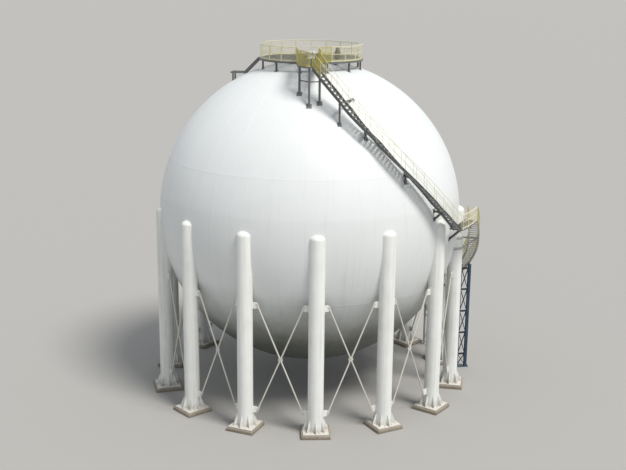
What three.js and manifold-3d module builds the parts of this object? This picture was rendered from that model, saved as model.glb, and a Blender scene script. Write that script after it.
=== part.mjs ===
// Spherical gas tank on fourteen columns that meet it at its equator, with platform and stairs.
// Millimetres, +Z up. Azimuth 0 is the front (-Y), growing towards +X.
import * as THREE from 'three';
import { mergeVertices } from 'three/addons/utils/BufferGeometryUtils.js';
import Module from 'manifold-3d';

const wasm = await Module();
wasm.setup();

// Ball
const INNER_RADIUS = 12400;
const WALL = 46;
const OUTER_RADIUS = INNER_RADIUS + WALL;
const CENTRE_Z = 14700;
const GAP = 0.35;
const SHELL_SEGMENTS = 42;
const BELT_EDGE = 22.5;
const CROWN_EDGE = 67.5;
const ARC_STEP = 7.5;

// How deep a welded end reaches into what carries it
const SUNK = 60;

// Columns
const COLUMN_COUNT = 14;
const BAY = 360 / COLUMN_COUNT;
const COLUMN_RING = 12250;
const COLUMN_RADIUS = 600;
const COLUMN_SIDES = 16;
const COLUMN_SHOULDER = CENTRE_Z + 560;
const CAP_HEIGHT = 390;
const CAP_STEPS = 3;
const PLINTH_SIDE = 2200;
const PLINTH_HEIGHT = 300;
const BASE_SIDE = 1960;
const BASE_THICKNESS = 60;
const GUSSET_COUNT = 4;
const GUSSET_HEIGHT = 900;
const GUSSET_REACH = 940;
const GUSSET_EDGE = 160;
const GUSSET_THICKNESS = 40;

// Crossed braces
const BRACE_SIZE = 120;
const BRACE_TOP = 9950;
const BRACE_BOTTOM = 1600;
const BRACE_MIDDLE = (BRACE_TOP + BRACE_BOTTOM) / 2;
const TAB_REACH = 980;
const TAB_HEIGHT = 520;
const TAB_THICKNESS = 50;

// Manways at the top and the bottom, pipe stubs beside the lower one
const NECK_RADIUS = 300;
const COVER_RADIUS = 430;
const COVER_HEIGHT = 140;
const TOP_COVER_Z = CENTRE_Z + 13050;
const BOTTOM_COVER_Z = 1750;
const STUB_OFFSET = 1500;
const STUB_RADIUS = 150;
const STUB_FLANGE = 240;
const STUB_FLANGE_HEIGHT = 70;
const STUB_Z = 1850;

// Platform
const DECK_TOP = CENTRE_Z + 12600;
const DECK_RADIUS = 4200;
const DECK_HOLE = 620;
const DECK_PLATE = 60;
const DECK_RIM = 150;
const DECK_SIDES = 28;
const DECK_LEGS = 12;
const DECK_LEG = 120;
const DECK_LEG_RING = DECK_RADIUS - 160;
const INNER_LEG = 100;
const INNER_LEG_RING = 2200;
const BEAM_START = 870;
const BEAM_WIDTH = 100;
const BEAM_DEPTH = 90;
const RAIL_HEIGHT = 1150;
const RAIL_BAR = 48;
const RAIL_POST = 40;
const RAIL_SPACING = 1300;

// Stairs
const RISER = 250;
const STAIR_HALF = 400;
const STRINGER_DEPTH = 300;
const STRINGER_TOP = 60;
const STRINGER_WIDTH = 60;
const TREAD_DEPTH = 230;
const TREAD_NOSE = 50;
const TREAD_THICKNESS = 40;
const LANDING_Z = CENTRE_Z + 350;
const LANDING_END = 67.5;
const LOWER_RADIUS = 13745;
const LOWER_SLOPE = 0.766;
const MIDDLE_Z = 5825;
const LANDING_INNER = 13130;
const LANDING_OUTER = 14200;
const LANDING_PLATE = 80;
const LANDING_LEG = 130;

const UP = new THREE.Vector3(0, 0, 1);
const rad = THREE.MathUtils.degToRad;

const whitePaint = new THREE.MeshStandardMaterial({ color: 0xeceff0, roughness: 0.5, metalness: 0.1 });
const columnPaint = new THREE.MeshStandardMaterial({ color: 0xe6e8e4, roughness: 0.6, metalness: 0.1 });
const bracePaint = new THREE.MeshStandardMaterial({ color: 0xd6d8d2, roughness: 0.55, metalness: 0.2 });
const stairPaint = new THREE.MeshStandardMaterial({ color: 0x4a4f50, roughness: 0.6, metalness: 0.3 });
const lowerStairPaint = new THREE.MeshStandardMaterial({ color: 0xb9bdb8, roughness: 0.6, metalness: 0.3 });
const yellowPaint = new THREE.MeshStandardMaterial({ color: 0xc9c455, roughness: 0.5, metalness: 0.2 });
const bluePaint = new THREE.MeshStandardMaterial({ color: 0x24384a, roughness: 0.5, metalness: 0.3 });
const valvePaint = new THREE.MeshStandardMaterial({ color: 0x4a4528, roughness: 0.5, metalness: 0.4 });
const concrete = new THREE.MeshStandardMaterial({ color: 0x9a958a, roughness: 0.9, metalness: 0.0 });

// Solids: closed meshes joined and cut
function solidOf(geometry) {
  const bare = geometry.clone();
  bare.deleteAttribute('normal');
  bare.deleteAttribute('uv');
  const merged = mergeVertices(bare, 0.01);
  const source = merged.index.array;
  const kept = [];
  for (let i = 0; i < source.length; i += 3) {
    const [a, b, c] = [source[i], source[i + 1], source[i + 2]];
    if (a !== b && b !== c && c !== a) {
      kept.push(a, b, c);
    }
  }
  return new wasm.Manifold(new wasm.Mesh({
    numProp: 3,
    vertProperties: new Float32Array(merged.attributes.position.array),
    triVerts: new Uint32Array(kept),
  }));
}

function join(solids) {
  return solids.reduce((whole, next) => whole.add(next));
}

function moved(solid, x, y, z) {
  const data = solid.getMesh();
  const vertices = new Float32Array(data.vertProperties);
  for (let i = 0; i < vertices.length; i += 3) {
    vertices[i] += x;
    vertices[i + 1] += y;
    vertices[i + 2] += z;
  }
  return new wasm.Manifold(new wasm.Mesh({
    numProp: 3,
    vertProperties: vertices,
    triVerts: new Uint32Array(data.triVerts),
  }));
}

// The solid with the seating gap around it, for cutting its neighbour
function seat(solid) {
  const shifts = [];
  for (const x of [-GAP, GAP]) {
    for (const y of [-GAP, GAP]) {
      for (const z of [-GAP, GAP]) {
        shifts.push(moved(solid, x, y, z));
      }
    }
  }
  return join(shifts);
}

function toMesh(name, solid, material) {
  const data = solid.getMesh();
  const geometry = new THREE.BufferGeometry();
  geometry.setAttribute('position', new THREE.BufferAttribute(new Float32Array(data.vertProperties), 3));
  geometry.setIndex(new THREE.BufferAttribute(new Uint32Array(data.triVerts), 1));
  geometry.computeVertexNormals();
  const mesh = new THREE.Mesh(geometry, material);
  mesh.name = name;
  return mesh;
}

function polar(azimuth, radius, z) {
  return new THREE.Vector3(radius * Math.sin(rad(azimuth)), -radius * Math.cos(rad(azimuth)), z);
}

function box(width, depth, height, centre, turn = 0) {
  const geometry = new THREE.BoxGeometry(width, depth, height);
  geometry.rotateZ(rad(turn));
  geometry.translate(centre.x, centre.y, centre.z);
  return solidOf(geometry);
}

// A straight bar from one point to another; width lies level, depth stands up
function bar(from, to, width, depth, extend = 0) {
  const axis = new THREE.Vector3().subVectors(to, from);
  const length = axis.length() + 2 * extend;
  axis.normalize();
  const side = new THREE.Vector3().crossVectors(UP, axis);
  if (side.lengthSq() < 1e-6) {
    side.set(from.y, -from.x, 0);
  }
  side.normalize();
  const top = new THREE.Vector3().crossVectors(axis, side);
  const frame = new THREE.Matrix4().makeBasis(axis, side, top);
  frame.setPosition(new THREE.Vector3().addVectors(from, to).multiplyScalar(0.5));
  const geometry = new THREE.BoxGeometry(length, width, depth);
  geometry.applyMatrix4(frame);
  return solidOf(geometry);
}

// A box bent along a line of points; width lies level, depth is measured straight up
function ribbon(points, width, depth, extend = 0) {
  const last = points.length - 1;
  const geometry = new THREE.BoxGeometry(last, 1, 1, last, 1, 1);
  const position = geometry.attributes.position;
  const level = (from, to) => new THREE.Vector3(to.x - from.x, to.y - from.y, 0).normalize();
  const frames = points.map((point, i) => {
    const back = level(points[Math.max(i - 1, 0)], points[Math.max(i, 1)]);
    const ahead = level(points[Math.min(i, last - 1)], points[Math.min(i + 1, last)]);
    const way = back.clone().add(ahead).normalize();
    const mitre = 1 / Math.max(way.dot(ahead), 0.5);
    const place = point.clone();
    if (i === 0 || i === last) {
      const near = i === 0 ? points[1] : points[last - 1];
      place.addScaledVector(new THREE.Vector3().subVectors(point, near).normalize(), extend);
    }
    return { place, across: new THREE.Vector3(-way.y, way.x, 0).multiplyScalar(mitre) };
  });
  for (let k = 0; k < position.count; k += 1) {
    const frame = frames[Math.round(position.getX(k) + last / 2)];
    const spot = frame.place.clone().addScaledVector(frame.across, position.getY(k) * width);
    position.setXYZ(k, spot.x, spot.y, spot.z + position.getZ(k) * depth);
  }
  return solidOf(geometry);
}

function lathe(profile, segments) {
  const geometry = new THREE.LatheGeometry(profile.map(([r, z]) => new THREE.Vector2(r, z)), segments);
  geometry.rotateX(Math.PI / 2);
  return solidOf(geometry);
}

// Ball plates: rings of the wall between two latitudes
function arc(radius, from, to) {
  const steps = Math.round(Math.abs(to - from) / ARC_STEP);
  const points = [];
  for (let i = 0; i <= steps; i += 1) {
    const latitude = rad(from + ((to - from) * i) / steps);
    const r = Math.abs(latitude) > rad(89.99) ? 0 : radius * Math.cos(latitude);
    points.push([r, CENTRE_Z + radius * Math.sin(latitude)]);
  }
  return points;
}

function belt(from, to) {
  const trim = THREE.MathUtils.radToDeg(GAP / 2 / OUTER_RADIUS);
  const outer = arc(OUTER_RADIUS, from + trim, to - trim);
  const inner = arc(INNER_RADIUS, to - trim, from + trim);
  return lathe([...outer, ...inner, outer[0]], SHELL_SEGMENTS);
}

function crown(sign) {
  const trim = THREE.MathUtils.radToDeg(GAP / 2 / OUTER_RADIUS);
  if (sign > 0) {
    const outer = arc(OUTER_RADIUS, CROWN_EDGE + trim, 90);
    const inner = arc(INNER_RADIUS, 90, CROWN_EDGE + trim);
    return lathe([...inner, ...outer], SHELL_SEGMENTS);
  }
  const outer = arc(OUTER_RADIUS, -90, -CROWN_EDGE - trim);
  const inner = arc(INNER_RADIUS, -CROWN_EDGE - trim, -90);
  return lathe([...outer, ...inner], SHELL_SEGMENTS);
}

const ballEnvelope = lathe(arc(OUTER_RADIUS + GAP, -90, 90), SHELL_SEGMENTS);

function shellRadiusAt(z) {
  return Math.sqrt(OUTER_RADIUS ** 2 - (z - CENTRE_Z) ** 2);
}

function shellHeightAt(radius) {
  return CENTRE_Z + Math.sqrt(OUTER_RADIUS ** 2 - radius ** 2);
}

function disc(radius, bottom, top, x = 0, y = 0, sides = 16) {
  const geometry = new THREE.CylinderGeometry(radius, radius, top - bottom, sides);
  geometry.rotateX(Math.PI / 2);
  geometry.translate(x, y, (bottom + top) / 2);
  return solidOf(geometry);
}

// Manway on the top crown, manway and two pipe stubs on the bottom crown
function topCrown() {
  const neck = disc(NECK_RADIUS, CENTRE_Z + INNER_RADIUS + WALL / 2, TOP_COVER_Z);
  const cover = disc(COVER_RADIUS, TOP_COVER_Z - COVER_HEIGHT / 2, TOP_COVER_Z + COVER_HEIGHT / 2);
  return join([crown(1), neck, cover]);
}

function bottomCrown() {
  const pieces = [crown(-1)];
  pieces.push(disc(NECK_RADIUS, BOTTOM_COVER_Z, CENTRE_Z - INNER_RADIUS - WALL / 2));
  pieces.push(disc(COVER_RADIUS, BOTTOM_COVER_Z - COVER_HEIGHT / 2, BOTTOM_COVER_Z + COVER_HEIGHT / 2));
  const stubTop = CENTRE_Z - Math.sqrt(INNER_RADIUS ** 2 - STUB_OFFSET ** 2) - WALL / 4;
  for (const x of [-STUB_OFFSET, STUB_OFFSET]) {
    pieces.push(disc(STUB_RADIUS, STUB_Z, stubTop, x));
    pieces.push(disc(STUB_FLANGE, STUB_Z - STUB_FLANGE_HEIGHT / 2, STUB_Z + STUB_FLANGE_HEIGHT / 2, x));
  }
  return join(pieces);
}

// Column, built at the front and turned to its bay
const chordTurn = BAY / 2;

function columnSolid() {
  const profile = [[0, PLINTH_HEIGHT - SUNK], [COLUMN_RADIUS, PLINTH_HEIGHT - SUNK]];
  for (let i = 0; i < CAP_STEPS; i += 1) {
    const lift = (i / CAP_STEPS) * (Math.PI / 2);
    profile.push([COLUMN_RADIUS * Math.cos(lift), COLUMN_SHOULDER + CAP_HEIGHT * Math.sin(lift)]);
  }
  profile.push([0, COLUMN_SHOULDER + CAP_HEIGHT]);
  const pieces = [lathe(profile, COLUMN_SIDES)];
  const inner = COLUMN_RADIUS - SUNK;
  for (let i = 0; i < GUSSET_COUNT; i += 1) {
    const shape = new THREE.Shape();
    shape.moveTo(inner, 0);
    shape.lineTo(GUSSET_REACH, 0);
    shape.lineTo(GUSSET_REACH, GUSSET_EDGE);
    shape.lineTo(inner, GUSSET_HEIGHT);
    shape.closePath();
    const plate = new THREE.ExtrudeGeometry(shape, {
      depth: GUSSET_THICKNESS, bevelEnabled: false, steps: 1,
    });
    plate.translate(0, 0, -GUSSET_THICKNESS / 2);
    plate.rotateX(Math.PI / 2);
    plate.rotateZ(rad((i * 360) / GUSSET_COUNT));
    plate.translate(0, 0, PLINTH_HEIGHT + BASE_THICKNESS - 5);
    pieces.push(solidOf(plate));
  }
  const base = new THREE.Vector3(0, 0, PLINTH_HEIGHT + BASE_THICKNESS / 2 - 1);
  pieces.push(box(BASE_SIDE, BASE_SIDE, BASE_THICKNESS + 2, base));
  pieces.push(box(PLINTH_SIDE, PLINTH_SIDE, PLINTH_HEIGHT, new THREE.Vector3(0, 0, PLINTH_HEIGHT / 2)));
  for (const side of [-1, 1]) {
    for (const z of [BRACE_TOP, BRACE_BOTTOM]) {
      const reach = (inner + TAB_REACH) / 2;
      const turn = side * chordTurn;
      const centre = new THREE.Vector3(side * reach, 0, z).applyAxisAngle(UP, rad(turn));
      pieces.push(box(TAB_REACH - inner, TAB_THICKNESS, TAB_HEIGHT, centre, turn));
    }
  }
  return join(pieces).subtract(moved(ballEnvelope, 0, COLUMN_RING, 0));
}

// Crossed pair of tie bars across one bay, between the tabs of two columns
function braceSolid() {
  const halfChord = COLUMN_RING * Math.sin(rad(BAY / 2));
  const reach = halfChord - TAB_REACH - GAP;
  const rise = BRACE_TOP - BRACE_BOTTOM;
  const angle = Math.atan2(rise, 2 * reach);
  const pieces = [];
  for (const lean of [-1, 1]) {
    const rod = new THREE.BoxGeometry(Math.hypot(rise, 2 * reach) + 600, BRACE_SIZE, BRACE_SIZE);
    rod.rotateY(lean * angle);
    pieces.push(solidOf(rod));
  }
  const span = box(2 * reach, 1000, rise + 2000, new THREE.Vector3(0, 0, 0));
  return join(pieces).intersect(span);
}

// Round platform over the top of the ball, on legs
const deckEnvelope = disc(DECK_RADIUS + GAP, DECK_TOP - 600, DECK_TOP + 400, 0, 0, DECK_SIDES);

function platformSolid() {
  const plate = DECK_TOP - DECK_PLATE;
  const rim = DECK_TOP - DECK_RIM;
  const deck = lathe([
    [DECK_HOLE, plate], [DECK_LEG_RING, plate], [DECK_LEG_RING, rim], [DECK_RADIUS, rim],
    [DECK_RADIUS, DECK_TOP], [DECK_HOLE, DECK_TOP], [DECK_HOLE, plate],
  ], DECK_SIDES);
  const pieces = [deck];
  const leg = (azimuth, radius, side) => {
    const foot = shellHeightAt(radius + side) - SUNK;
    return box(side, side, plate + 10 - foot, polar(azimuth, radius, (plate + 10 + foot) / 2), azimuth);
  };
  for (let i = 0; i < DECK_LEGS; i += 1) {
    const azimuth = ((i + 0.5) * 360) / DECK_LEGS;
    const level = plate + 20 - BEAM_DEPTH / 2;
    const beamEnd = polar(azimuth, DECK_LEG_RING, level);
    pieces.push(bar(polar(azimuth, BEAM_START, level), beamEnd, BEAM_WIDTH, BEAM_DEPTH));
    pieces.push(leg(azimuth, DECK_LEG_RING, DECK_LEG));
    if (i % 2 === 0) {
      pieces.push(leg(azimuth, INNER_LEG_RING, INNER_LEG));
    }
  }
  return join(pieces).subtract(ballEnvelope);
}

// Landing that the stair starts from, at the front of the platform
const FRONT_OUTLINE = [[-1350, -3900], [-1350, -6900], [-760, -8050], [450, -7900], [450, -3900]];
const FRONT_POSTS = [[-1180, -6670], [-500, -7820], [290, -7600]];
const FRONT_POST = 170;
const FRONT_PLATE = 120;

function frontLanding() {
  const shape = new THREE.Shape(FRONT_OUTLINE.map(([x, y]) => new THREE.Vector2(x, y)));
  const plate = new THREE.ExtrudeGeometry(shape, { depth: FRONT_PLATE, bevelEnabled: false, steps: 1 });
  plate.translate(0, 0, DECK_TOP - FRONT_PLATE);
  const pieces = [solidOf(plate)];
  for (const [x, y] of FRONT_POSTS) {
    const foot = shellHeightAt(Math.hypot(x, y)) - FRONT_POST;
    const top = DECK_TOP - FRONT_PLATE / 2;
    pieces.push(box(FRONT_POST, FRONT_POST, top - foot, new THREE.Vector3(x, y, (top + foot) / 2)));
  }
  return join(pieces).subtract(deckEnvelope).subtract(ballEnvelope);
}

// A straight-sided run of railing along level points
function levelRail(points, z) {
  const pieces = [];
  const at = (point, height) => new THREE.Vector3(point[0], point[1], z + height);
  for (const height of [RAIL_HEIGHT, RAIL_HEIGHT / 2]) {
    pieces.push(ribbon(points.map((point) => at(point, height)), RAIL_BAR, RAIL_BAR, RAIL_BAR / 2));
  }
  for (let i = 0; i + 1 < points.length; i += 1) {
    const from = at(points[i], 0);
    const to = at(points[i + 1], 0);
    const count = Math.max(1, Math.round(from.distanceTo(to) / RAIL_SPACING));
    const turn = THREE.MathUtils.radToDeg(Math.atan2(to.y - from.y, to.x - from.x));
    for (let k = i === 0 ? 0 : 1; k <= count; k += 1) {
      const place = new THREE.Vector3().lerpVectors(from, to, k / count);
      place.z = z + GAP + RAIL_HEIGHT / 2;
      pieces.push(box(RAIL_POST, RAIL_POST, RAIL_HEIGHT, place, turn));
    }
  }
  return join(pieces);
}

// Railing round the platform and along both sides of its front landing
const RAIL_RADIUS = DECK_RADIUS - 90;

function plan(azimuth, radius) {
  const p = polar(azimuth, radius, 0);
  return [p.x, p.y];
}

function arcPlan(from, to, radius, steps) {
  const points = [];
  for (let i = 0; i <= steps; i += 1) {
    points.push(plan(from + ((to - from) * i) / steps, radius));
  }
  return points;
}

const railRight = [...arcPlan(90, 5.5, RAIL_RADIUS, 6), [RAIL_RADIUS * Math.sin(rad(5.5)), -7120]];
const railBack = arcPlan(104, 251, RAIL_RADIUS, 11);
const railLeft = [...arcPlan(267, 341.7, RAIL_RADIUS, 6), [-1290, -6880], [-735, -7980], [-440, -7945]];

// Winding flights: a station for each tread, from the top down
function interpolate(value, keys, values) {
  for (let i = 0; i + 1 < keys.length; i += 1) {
    if (value <= keys[i + 1]) {
      const share = Math.max(0, (value - keys[i]) / (keys[i + 1] - keys[i]));
      return values[i] + (values[i + 1] - values[i]) * share;
    }
  }
  return values[values.length - 1];
}

const UPPER_START = { azimuth: -0.5, radius: 7600, z: DECK_TOP };
const UPPER_JOIN = CENTRE_Z + 10000;
const OFFSET_HEIGHTS = [350, 1500, 2500, 4000, 7500, 10000];
const OFFSETS = [1280, 980, 780, 700, 640, 1140];
const UPPER_SLOPE = 1.015;

function upperRadius(z) {
  const offset = (height) => interpolate(height - CENTRE_Z, OFFSET_HEIGHTS, OFFSETS);
  const follow = (height) => Math.sqrt((OUTER_RADIUS + offset(height)) ** 2 - (height - CENTRE_Z) ** 2);
  if (z > UPPER_JOIN) {
    const share = (UPPER_START.z - z) / (UPPER_START.z - UPPER_JOIN);
    return UPPER_START.radius + (follow(UPPER_JOIN) - UPPER_START.radius) * share;
  }
  return follow(z);
}

const FINE_STEPS = 9;

function windingStations(start, bottom, radiusAt, slope) {
  const risers = Math.round((start.z - bottom) / RISER);
  const rise = (start.z - bottom) / risers;
  const stations = [];
  let azimuth = start.azimuth;
  let z = start.z;
  for (let i = 0; i <= risers; i += 1) {
    stations.push({ azimuth, z, radius: radiusAt(z) });
    for (let k = 0; k < FINE_STEPS; k += 1) {
      const step = rise / FINE_STEPS;
      const out = radiusAt(z - step) - radiusAt(z);
      const along = Math.sqrt(Math.max((step / slope) ** 2 - out ** 2, 0));
      azimuth += THREE.MathUtils.radToDeg(along / radiusAt(z));
      z -= step;
    }
  }
  return stations;
}

// Both sides of the flight at a station, square to the way the stair heads
function stationSides(stations, index) {
  const here = stations[index];
  const before = stations[Math.max(index - 1, 0)];
  const after = stations[Math.min(index + 1, stations.length - 1)];
  const centre = polar(here.azimuth, here.radius, here.z);
  const way = polar(after.azimuth, after.radius, 0).sub(polar(before.azimuth, before.radius, 0)).normalize();
  const across = new THREE.Vector3(way.y, -way.x, 0);
  return {
    centre,
    way,
    outer: centre.clone().addScaledVector(across, STAIR_HALF),
    inner: centre.clone().addScaledVector(across, -STAIR_HALF),
  };
}

const STRINGER_EVERY = 4;

function stringerPoints(stations, side, lift) {
  const points = [];
  const last = stations.length - 1;
  for (let i = 0; i < last; i += STRINGER_EVERY) {
    points.push(stationSides(stations, i)[side]);
  }
  points.push(stationSides(stations, last)[side]);
  return points.map((point) => point.clone().setZ(point.z + lift));
}

function stringer(stations, side, grow = 0) {
  const points = stringerPoints(stations, side, STRINGER_TOP - STRINGER_DEPTH / 2);
  return ribbon(points, STRINGER_WIDTH + 2 * grow, STRINGER_DEPTH + 3 * grow, grow);
}

function flightSolid(stations) {
  const pieces = [stringer(stations, 'inner'), stringer(stations, 'outer')];
  for (let i = 1; i + 1 < stations.length; i += 1) {
    const { inner, outer, centre, way } = stationSides(stations, i);
    const turn = THREE.MathUtils.radToDeg(Math.atan2(outer.y - inner.y, outer.x - inner.x));
    const middle = centre.clone().addScaledVector(way, TREAD_NOSE - TREAD_DEPTH / 2);
    middle.z = centre.z - TREAD_THICKNESS / 2;
    pieces.push(box(2 * STAIR_HALF, TREAD_DEPTH, TREAD_THICKNESS, middle, turn));
  }
  return join(pieces);
}

function flightRail(stations, side, cutters) {
  const place = (index) => stationSides(stations, index)[side];
  const indices = [];
  for (let i = 0; i < stations.length - 1; i += STRINGER_EVERY) {
    indices.push(i);
  }
  indices.push(stations.length - 1);
  const pieces = [];
  for (const height of [RAIL_HEIGHT, RAIL_HEIGHT / 2]) {
    const line = indices.map((index) => place(index).setZ(stations[index].z + height));
    pieces.push(ribbon(line, RAIL_BAR, RAIL_BAR * 1.3, RAIL_BAR / 2));
  }
  for (const index of indices) {
    const foot = place(index);
    const bottom = foot.z - 60;
    const top = foot.z + RAIL_HEIGHT;
    const turn = stations[index].azimuth;
    pieces.push(box(RAIL_POST, RAIL_POST, top - bottom, foot.setZ((top + bottom) / 2), turn));
  }
  let rail = join(pieces);
  for (const cutter of cutters) {
    rail = rail.subtract(cutter);
  }
  return rail;
}

// Upper flight with its brackets to the ball
const upper = windingStations(UPPER_START, LANDING_Z, upperRadius, UPPER_SLOPE);
const upperEnd = upper[upper.length - 1];
const BRACKETS = [
  { azimuth: 11.4, post: -200 },
  { azimuth: 20, post: 400 },
  { azimuth: 33.4, post: 450 },
  { azimuth: 45.8, post: 0 },
];
const BRACKET_DROP = 300;
const BRACKET_WIDTH = 110;
const BRACKET_DEPTH = 130;
const STRUT_DROP = 650;
const UPRIGHT_WITHIN = 12000;

function nearestStation(stations, azimuth) {
  let best = 0;
  stations.forEach((station, index) => {
    if (Math.abs(station.azimuth - azimuth) < Math.abs(stations[best].azimuth - azimuth)) {
      best = index;
    }
  });
  return best;
}

// How far from a point, along a level line, the ball's surface is met at a height
function reachOfBall(from, way, z) {
  const radius = shellRadiusAt(z);
  const along = from.x * way.x + from.y * way.y;
  return -along - Math.sqrt(Math.max(along ** 2 - from.x ** 2 - from.y ** 2 + radius ** 2, 0));
}

// A beam square to the flight, and a post that stands upright on the ball or rakes back to its side
function upperBrackets() {
  const pieces = [];
  for (const { azimuth, post } of BRACKETS) {
    const index = nearestStation(upper, azimuth);
    const { centre, inner, outer } = stationSides(upper, index);
    const inward = inner.clone().sub(outer).normalize();
    const level = centre.z - BRACKET_DROP;
    const at = (reach, z) => centre.clone().addScaledVector(inward, reach).setZ(z);
    const root = at(reachOfBall(centre, inward, level) + 2 * SUNK, level);
    pieces.push(bar(root, at(-STAIR_HALF, level), BRACKET_WIDTH, BRACKET_DEPTH));
    const head = at(post, level);
    const headRadius = Math.hypot(head.x, head.y);
    const low = level - STRUT_DROP;
    const foot = headRadius < UPRIGHT_WITHIN ? head.clone().setZ(shellHeightAt(headRadius) - 2 * SUNK)
      : at(reachOfBall(centre, inward, low) + SUNK, low);
    pieces.push(bar(head, foot, BRACKET_WIDTH, BRACKET_DEPTH));
  }
  return join(pieces).subtract(ballEnvelope);
}

// Sector plate for the landings
function sector(from, to, inner, outer, top, thickness) {
  const steps = Math.max(2, Math.round((to - from) / 4));
  const points = [];
  for (let i = 0; i <= steps; i += 1) {
    const p = polar(from + ((to - from) * i) / steps, outer, 0);
    points.push(new THREE.Vector2(p.x, p.y));
  }
  for (let i = steps; i >= 0; i -= 1) {
    const p = polar(from + ((to - from) * i) / steps, inner, 0);
    points.push(new THREE.Vector2(p.x, p.y));
  }
  const geometry = new THREE.ExtrudeGeometry(new THREE.Shape(points), {
    depth: thickness, bevelEnabled: false, steps: 1,
  });
  geometry.translate(0, 0, top - thickness);
  return solidOf(geometry);
}

// A neighbour starts this many degrees inside the piece it lands on and is cut to its seat
const OVERLAP = 0.2;
const UPPER_OVERLAP = 0.6;
const UPPER_LANDING_START = upperEnd.azimuth - UPPER_OVERLAP;
const LANDING_BRACKETS = [60.2];
const LANDING_STRUT_DROP = 1350;
const LANDING_STRUT_HEAD = 600;
const LANDING_STRUT = 180;

function equatorLanding() {
  const start = UPPER_LANDING_START;
  const pieces = [sector(start, LANDING_END, LANDING_INNER, LANDING_OUTER, LANDING_Z, LANDING_PLATE)];
  for (const azimuth of LANDING_BRACKETS) {
    const level = LANDING_Z - LANDING_PLATE - 50;
    const tip = polar(azimuth, LANDING_OUTER - 40, level);
    pieces.push(bar(polar(azimuth, OUTER_RADIUS - 100, level), tip, BRACKET_WIDTH, BRACKET_DEPTH));
    const low = LANDING_Z - LANDING_STRUT_DROP;
    const foot = polar(azimuth, shellRadiusAt(low) - SUNK, low);
    const head = polar(azimuth, LANDING_OUTER - LANDING_STRUT_HEAD, level);
    pieces.push(bar(head, foot, LANDING_STRUT, LANDING_STRUT));
  }
  const line = arcPlan(start + 0.8, LANDING_END - 0.8, LANDING_OUTER - 60, 3);
  pieces.push(levelRail(line, LANDING_Z - 10));
  return join(pieces).subtract(ballEnvelope);
}

// Lower flight, outside the columns
const LOWER_BRACKET_COLUMNS = [3, 4];
const lowerStart = { azimuth: LANDING_END - OVERLAP, z: LANDING_Z };
const lower = windingStations(lowerStart, MIDDLE_Z, () => LOWER_RADIUS, LOWER_SLOPE);
const lowerEnd = lower[lower.length - 1];
const MIDDLE_END = lowerEnd.azimuth + 5.5;

function columnEnvelope(number) {
  const radius = COLUMN_RADIUS + GAP;
  const geometry = new THREE.CylinderGeometry(radius, radius, CENTRE_Z, COLUMN_SIDES);
  geometry.rotateX(Math.PI / 2);
  geometry.rotateZ(rad(number * BAY));
  const place = polar(number * BAY, COLUMN_RING, CENTRE_Z / 2);
  geometry.translate(place.x, place.y, place.z);
  return solidOf(geometry);
}

function lowerBrackets() {
  const pieces = [];
  for (const number of LOWER_BRACKET_COLUMNS) {
    const azimuth = number * BAY;
    const level = lower[nearestStation(lower, azimuth)].z - BRACKET_DROP;
    const tip = polar(azimuth, LOWER_RADIUS + STAIR_HALF, level);
    const head = polar(azimuth, LOWER_RADIUS + STAIR_HALF - 200, level);
    const foot = polar(azimuth, COLUMN_RING + 300, level - STRUT_DROP);
    const pair = [bar(polar(azimuth, COLUMN_RING, level), tip, BRACKET_WIDTH, BRACKET_DEPTH)];
    pair.push(bar(head, foot, BRACKET_WIDTH, BRACKET_WIDTH));
    pieces.push(join(pair).subtract(columnEnvelope(number)));
  }
  return join(pieces);
}

// Twin upright that carries the lower flight
const TRESTLE_AZIMUTH = 95.4;
const UPRIGHT = 260;
const TRESTLE_BAR = 140;
const TRESTLE_STEP = 2000;

function trestleSolid(cutter) {
  const index = nearestStation(lower, TRESTLE_AZIMUTH);
  const { azimuth, z } = lower[index];
  const pieces = [];
  for (const radius of [LOWER_RADIUS - STAIR_HALF, LOWER_RADIUS + STAIR_HALF]) {
    pieces.push(box(UPRIGHT, UPRIGHT, z, polar(azimuth, radius, z / 2), azimuth));
  }
  for (let height = 1200; height < z - 1000; height += TRESTLE_STEP) {
    pieces.push(box(TRESTLE_BAR, 2 * STAIR_HALF, TRESTLE_BAR, polar(azimuth, LOWER_RADIUS, height), azimuth));
  }
  pieces.push(box(500, 1300, 60, polar(azimuth, LOWER_RADIUS, 30), azimuth));
  return join(pieces).subtract(cutter);
}

function middleLanding() {
  const start = lowerEnd.azimuth - OVERLAP;
  const pieces = [sector(start, MIDDLE_END, LANDING_INNER + 60, LANDING_OUTER, MIDDLE_Z, LANDING_PLATE)];
  for (const azimuth of [start + 0.7, MIDDLE_END - 0.7]) {
    for (const radius of [LANDING_INNER + 180, LANDING_OUTER - 120]) {
      const top = MIDDLE_Z - LANDING_PLATE / 2;
      pieces.push(box(LANDING_LEG, LANDING_LEG, top, polar(azimuth, radius, top / 2), azimuth));
    }
    pieces.push(box(90, 950, 110, polar(azimuth, LOWER_RADIUS - 60, MIDDLE_Z / 2), azimuth));
  }
  pieces.push(levelRail(arcPlan(start + 0.7, MIDDLE_END - 0.7, LANDING_OUTER - 60, 1), MIDDLE_Z - 10));
  return join(pieces);
}

// Straight flight from the middle landing to the ground
const baseTurn = MIDDLE_END;
const basePoint = polar(MIDDLE_END + 0.08, (LANDING_INNER + LANDING_OUTER) / 2 + 30, MIDDLE_Z);
const baseWay = new THREE.Vector3(Math.cos(rad(baseTurn)), Math.sin(rad(baseTurn)), 0);
const BASE_FOOT_Z = 150;

function straightStations(from, way, bottom, slope) {
  const risers = Math.round((from.z - bottom) / RISER);
  const rise = (from.z - bottom) / risers;
  const stations = [];
  for (let i = 0; i <= risers; i += 1) {
    const point = from.clone().addScaledVector(way, (i * rise) / slope);
    const radius = Math.hypot(point.x, point.y);
    const azimuth = THREE.MathUtils.radToDeg(Math.atan2(point.x, -point.y));
    stations.push({ azimuth, radius, z: from.z - i * rise });
  }
  return stations;
}

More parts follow.
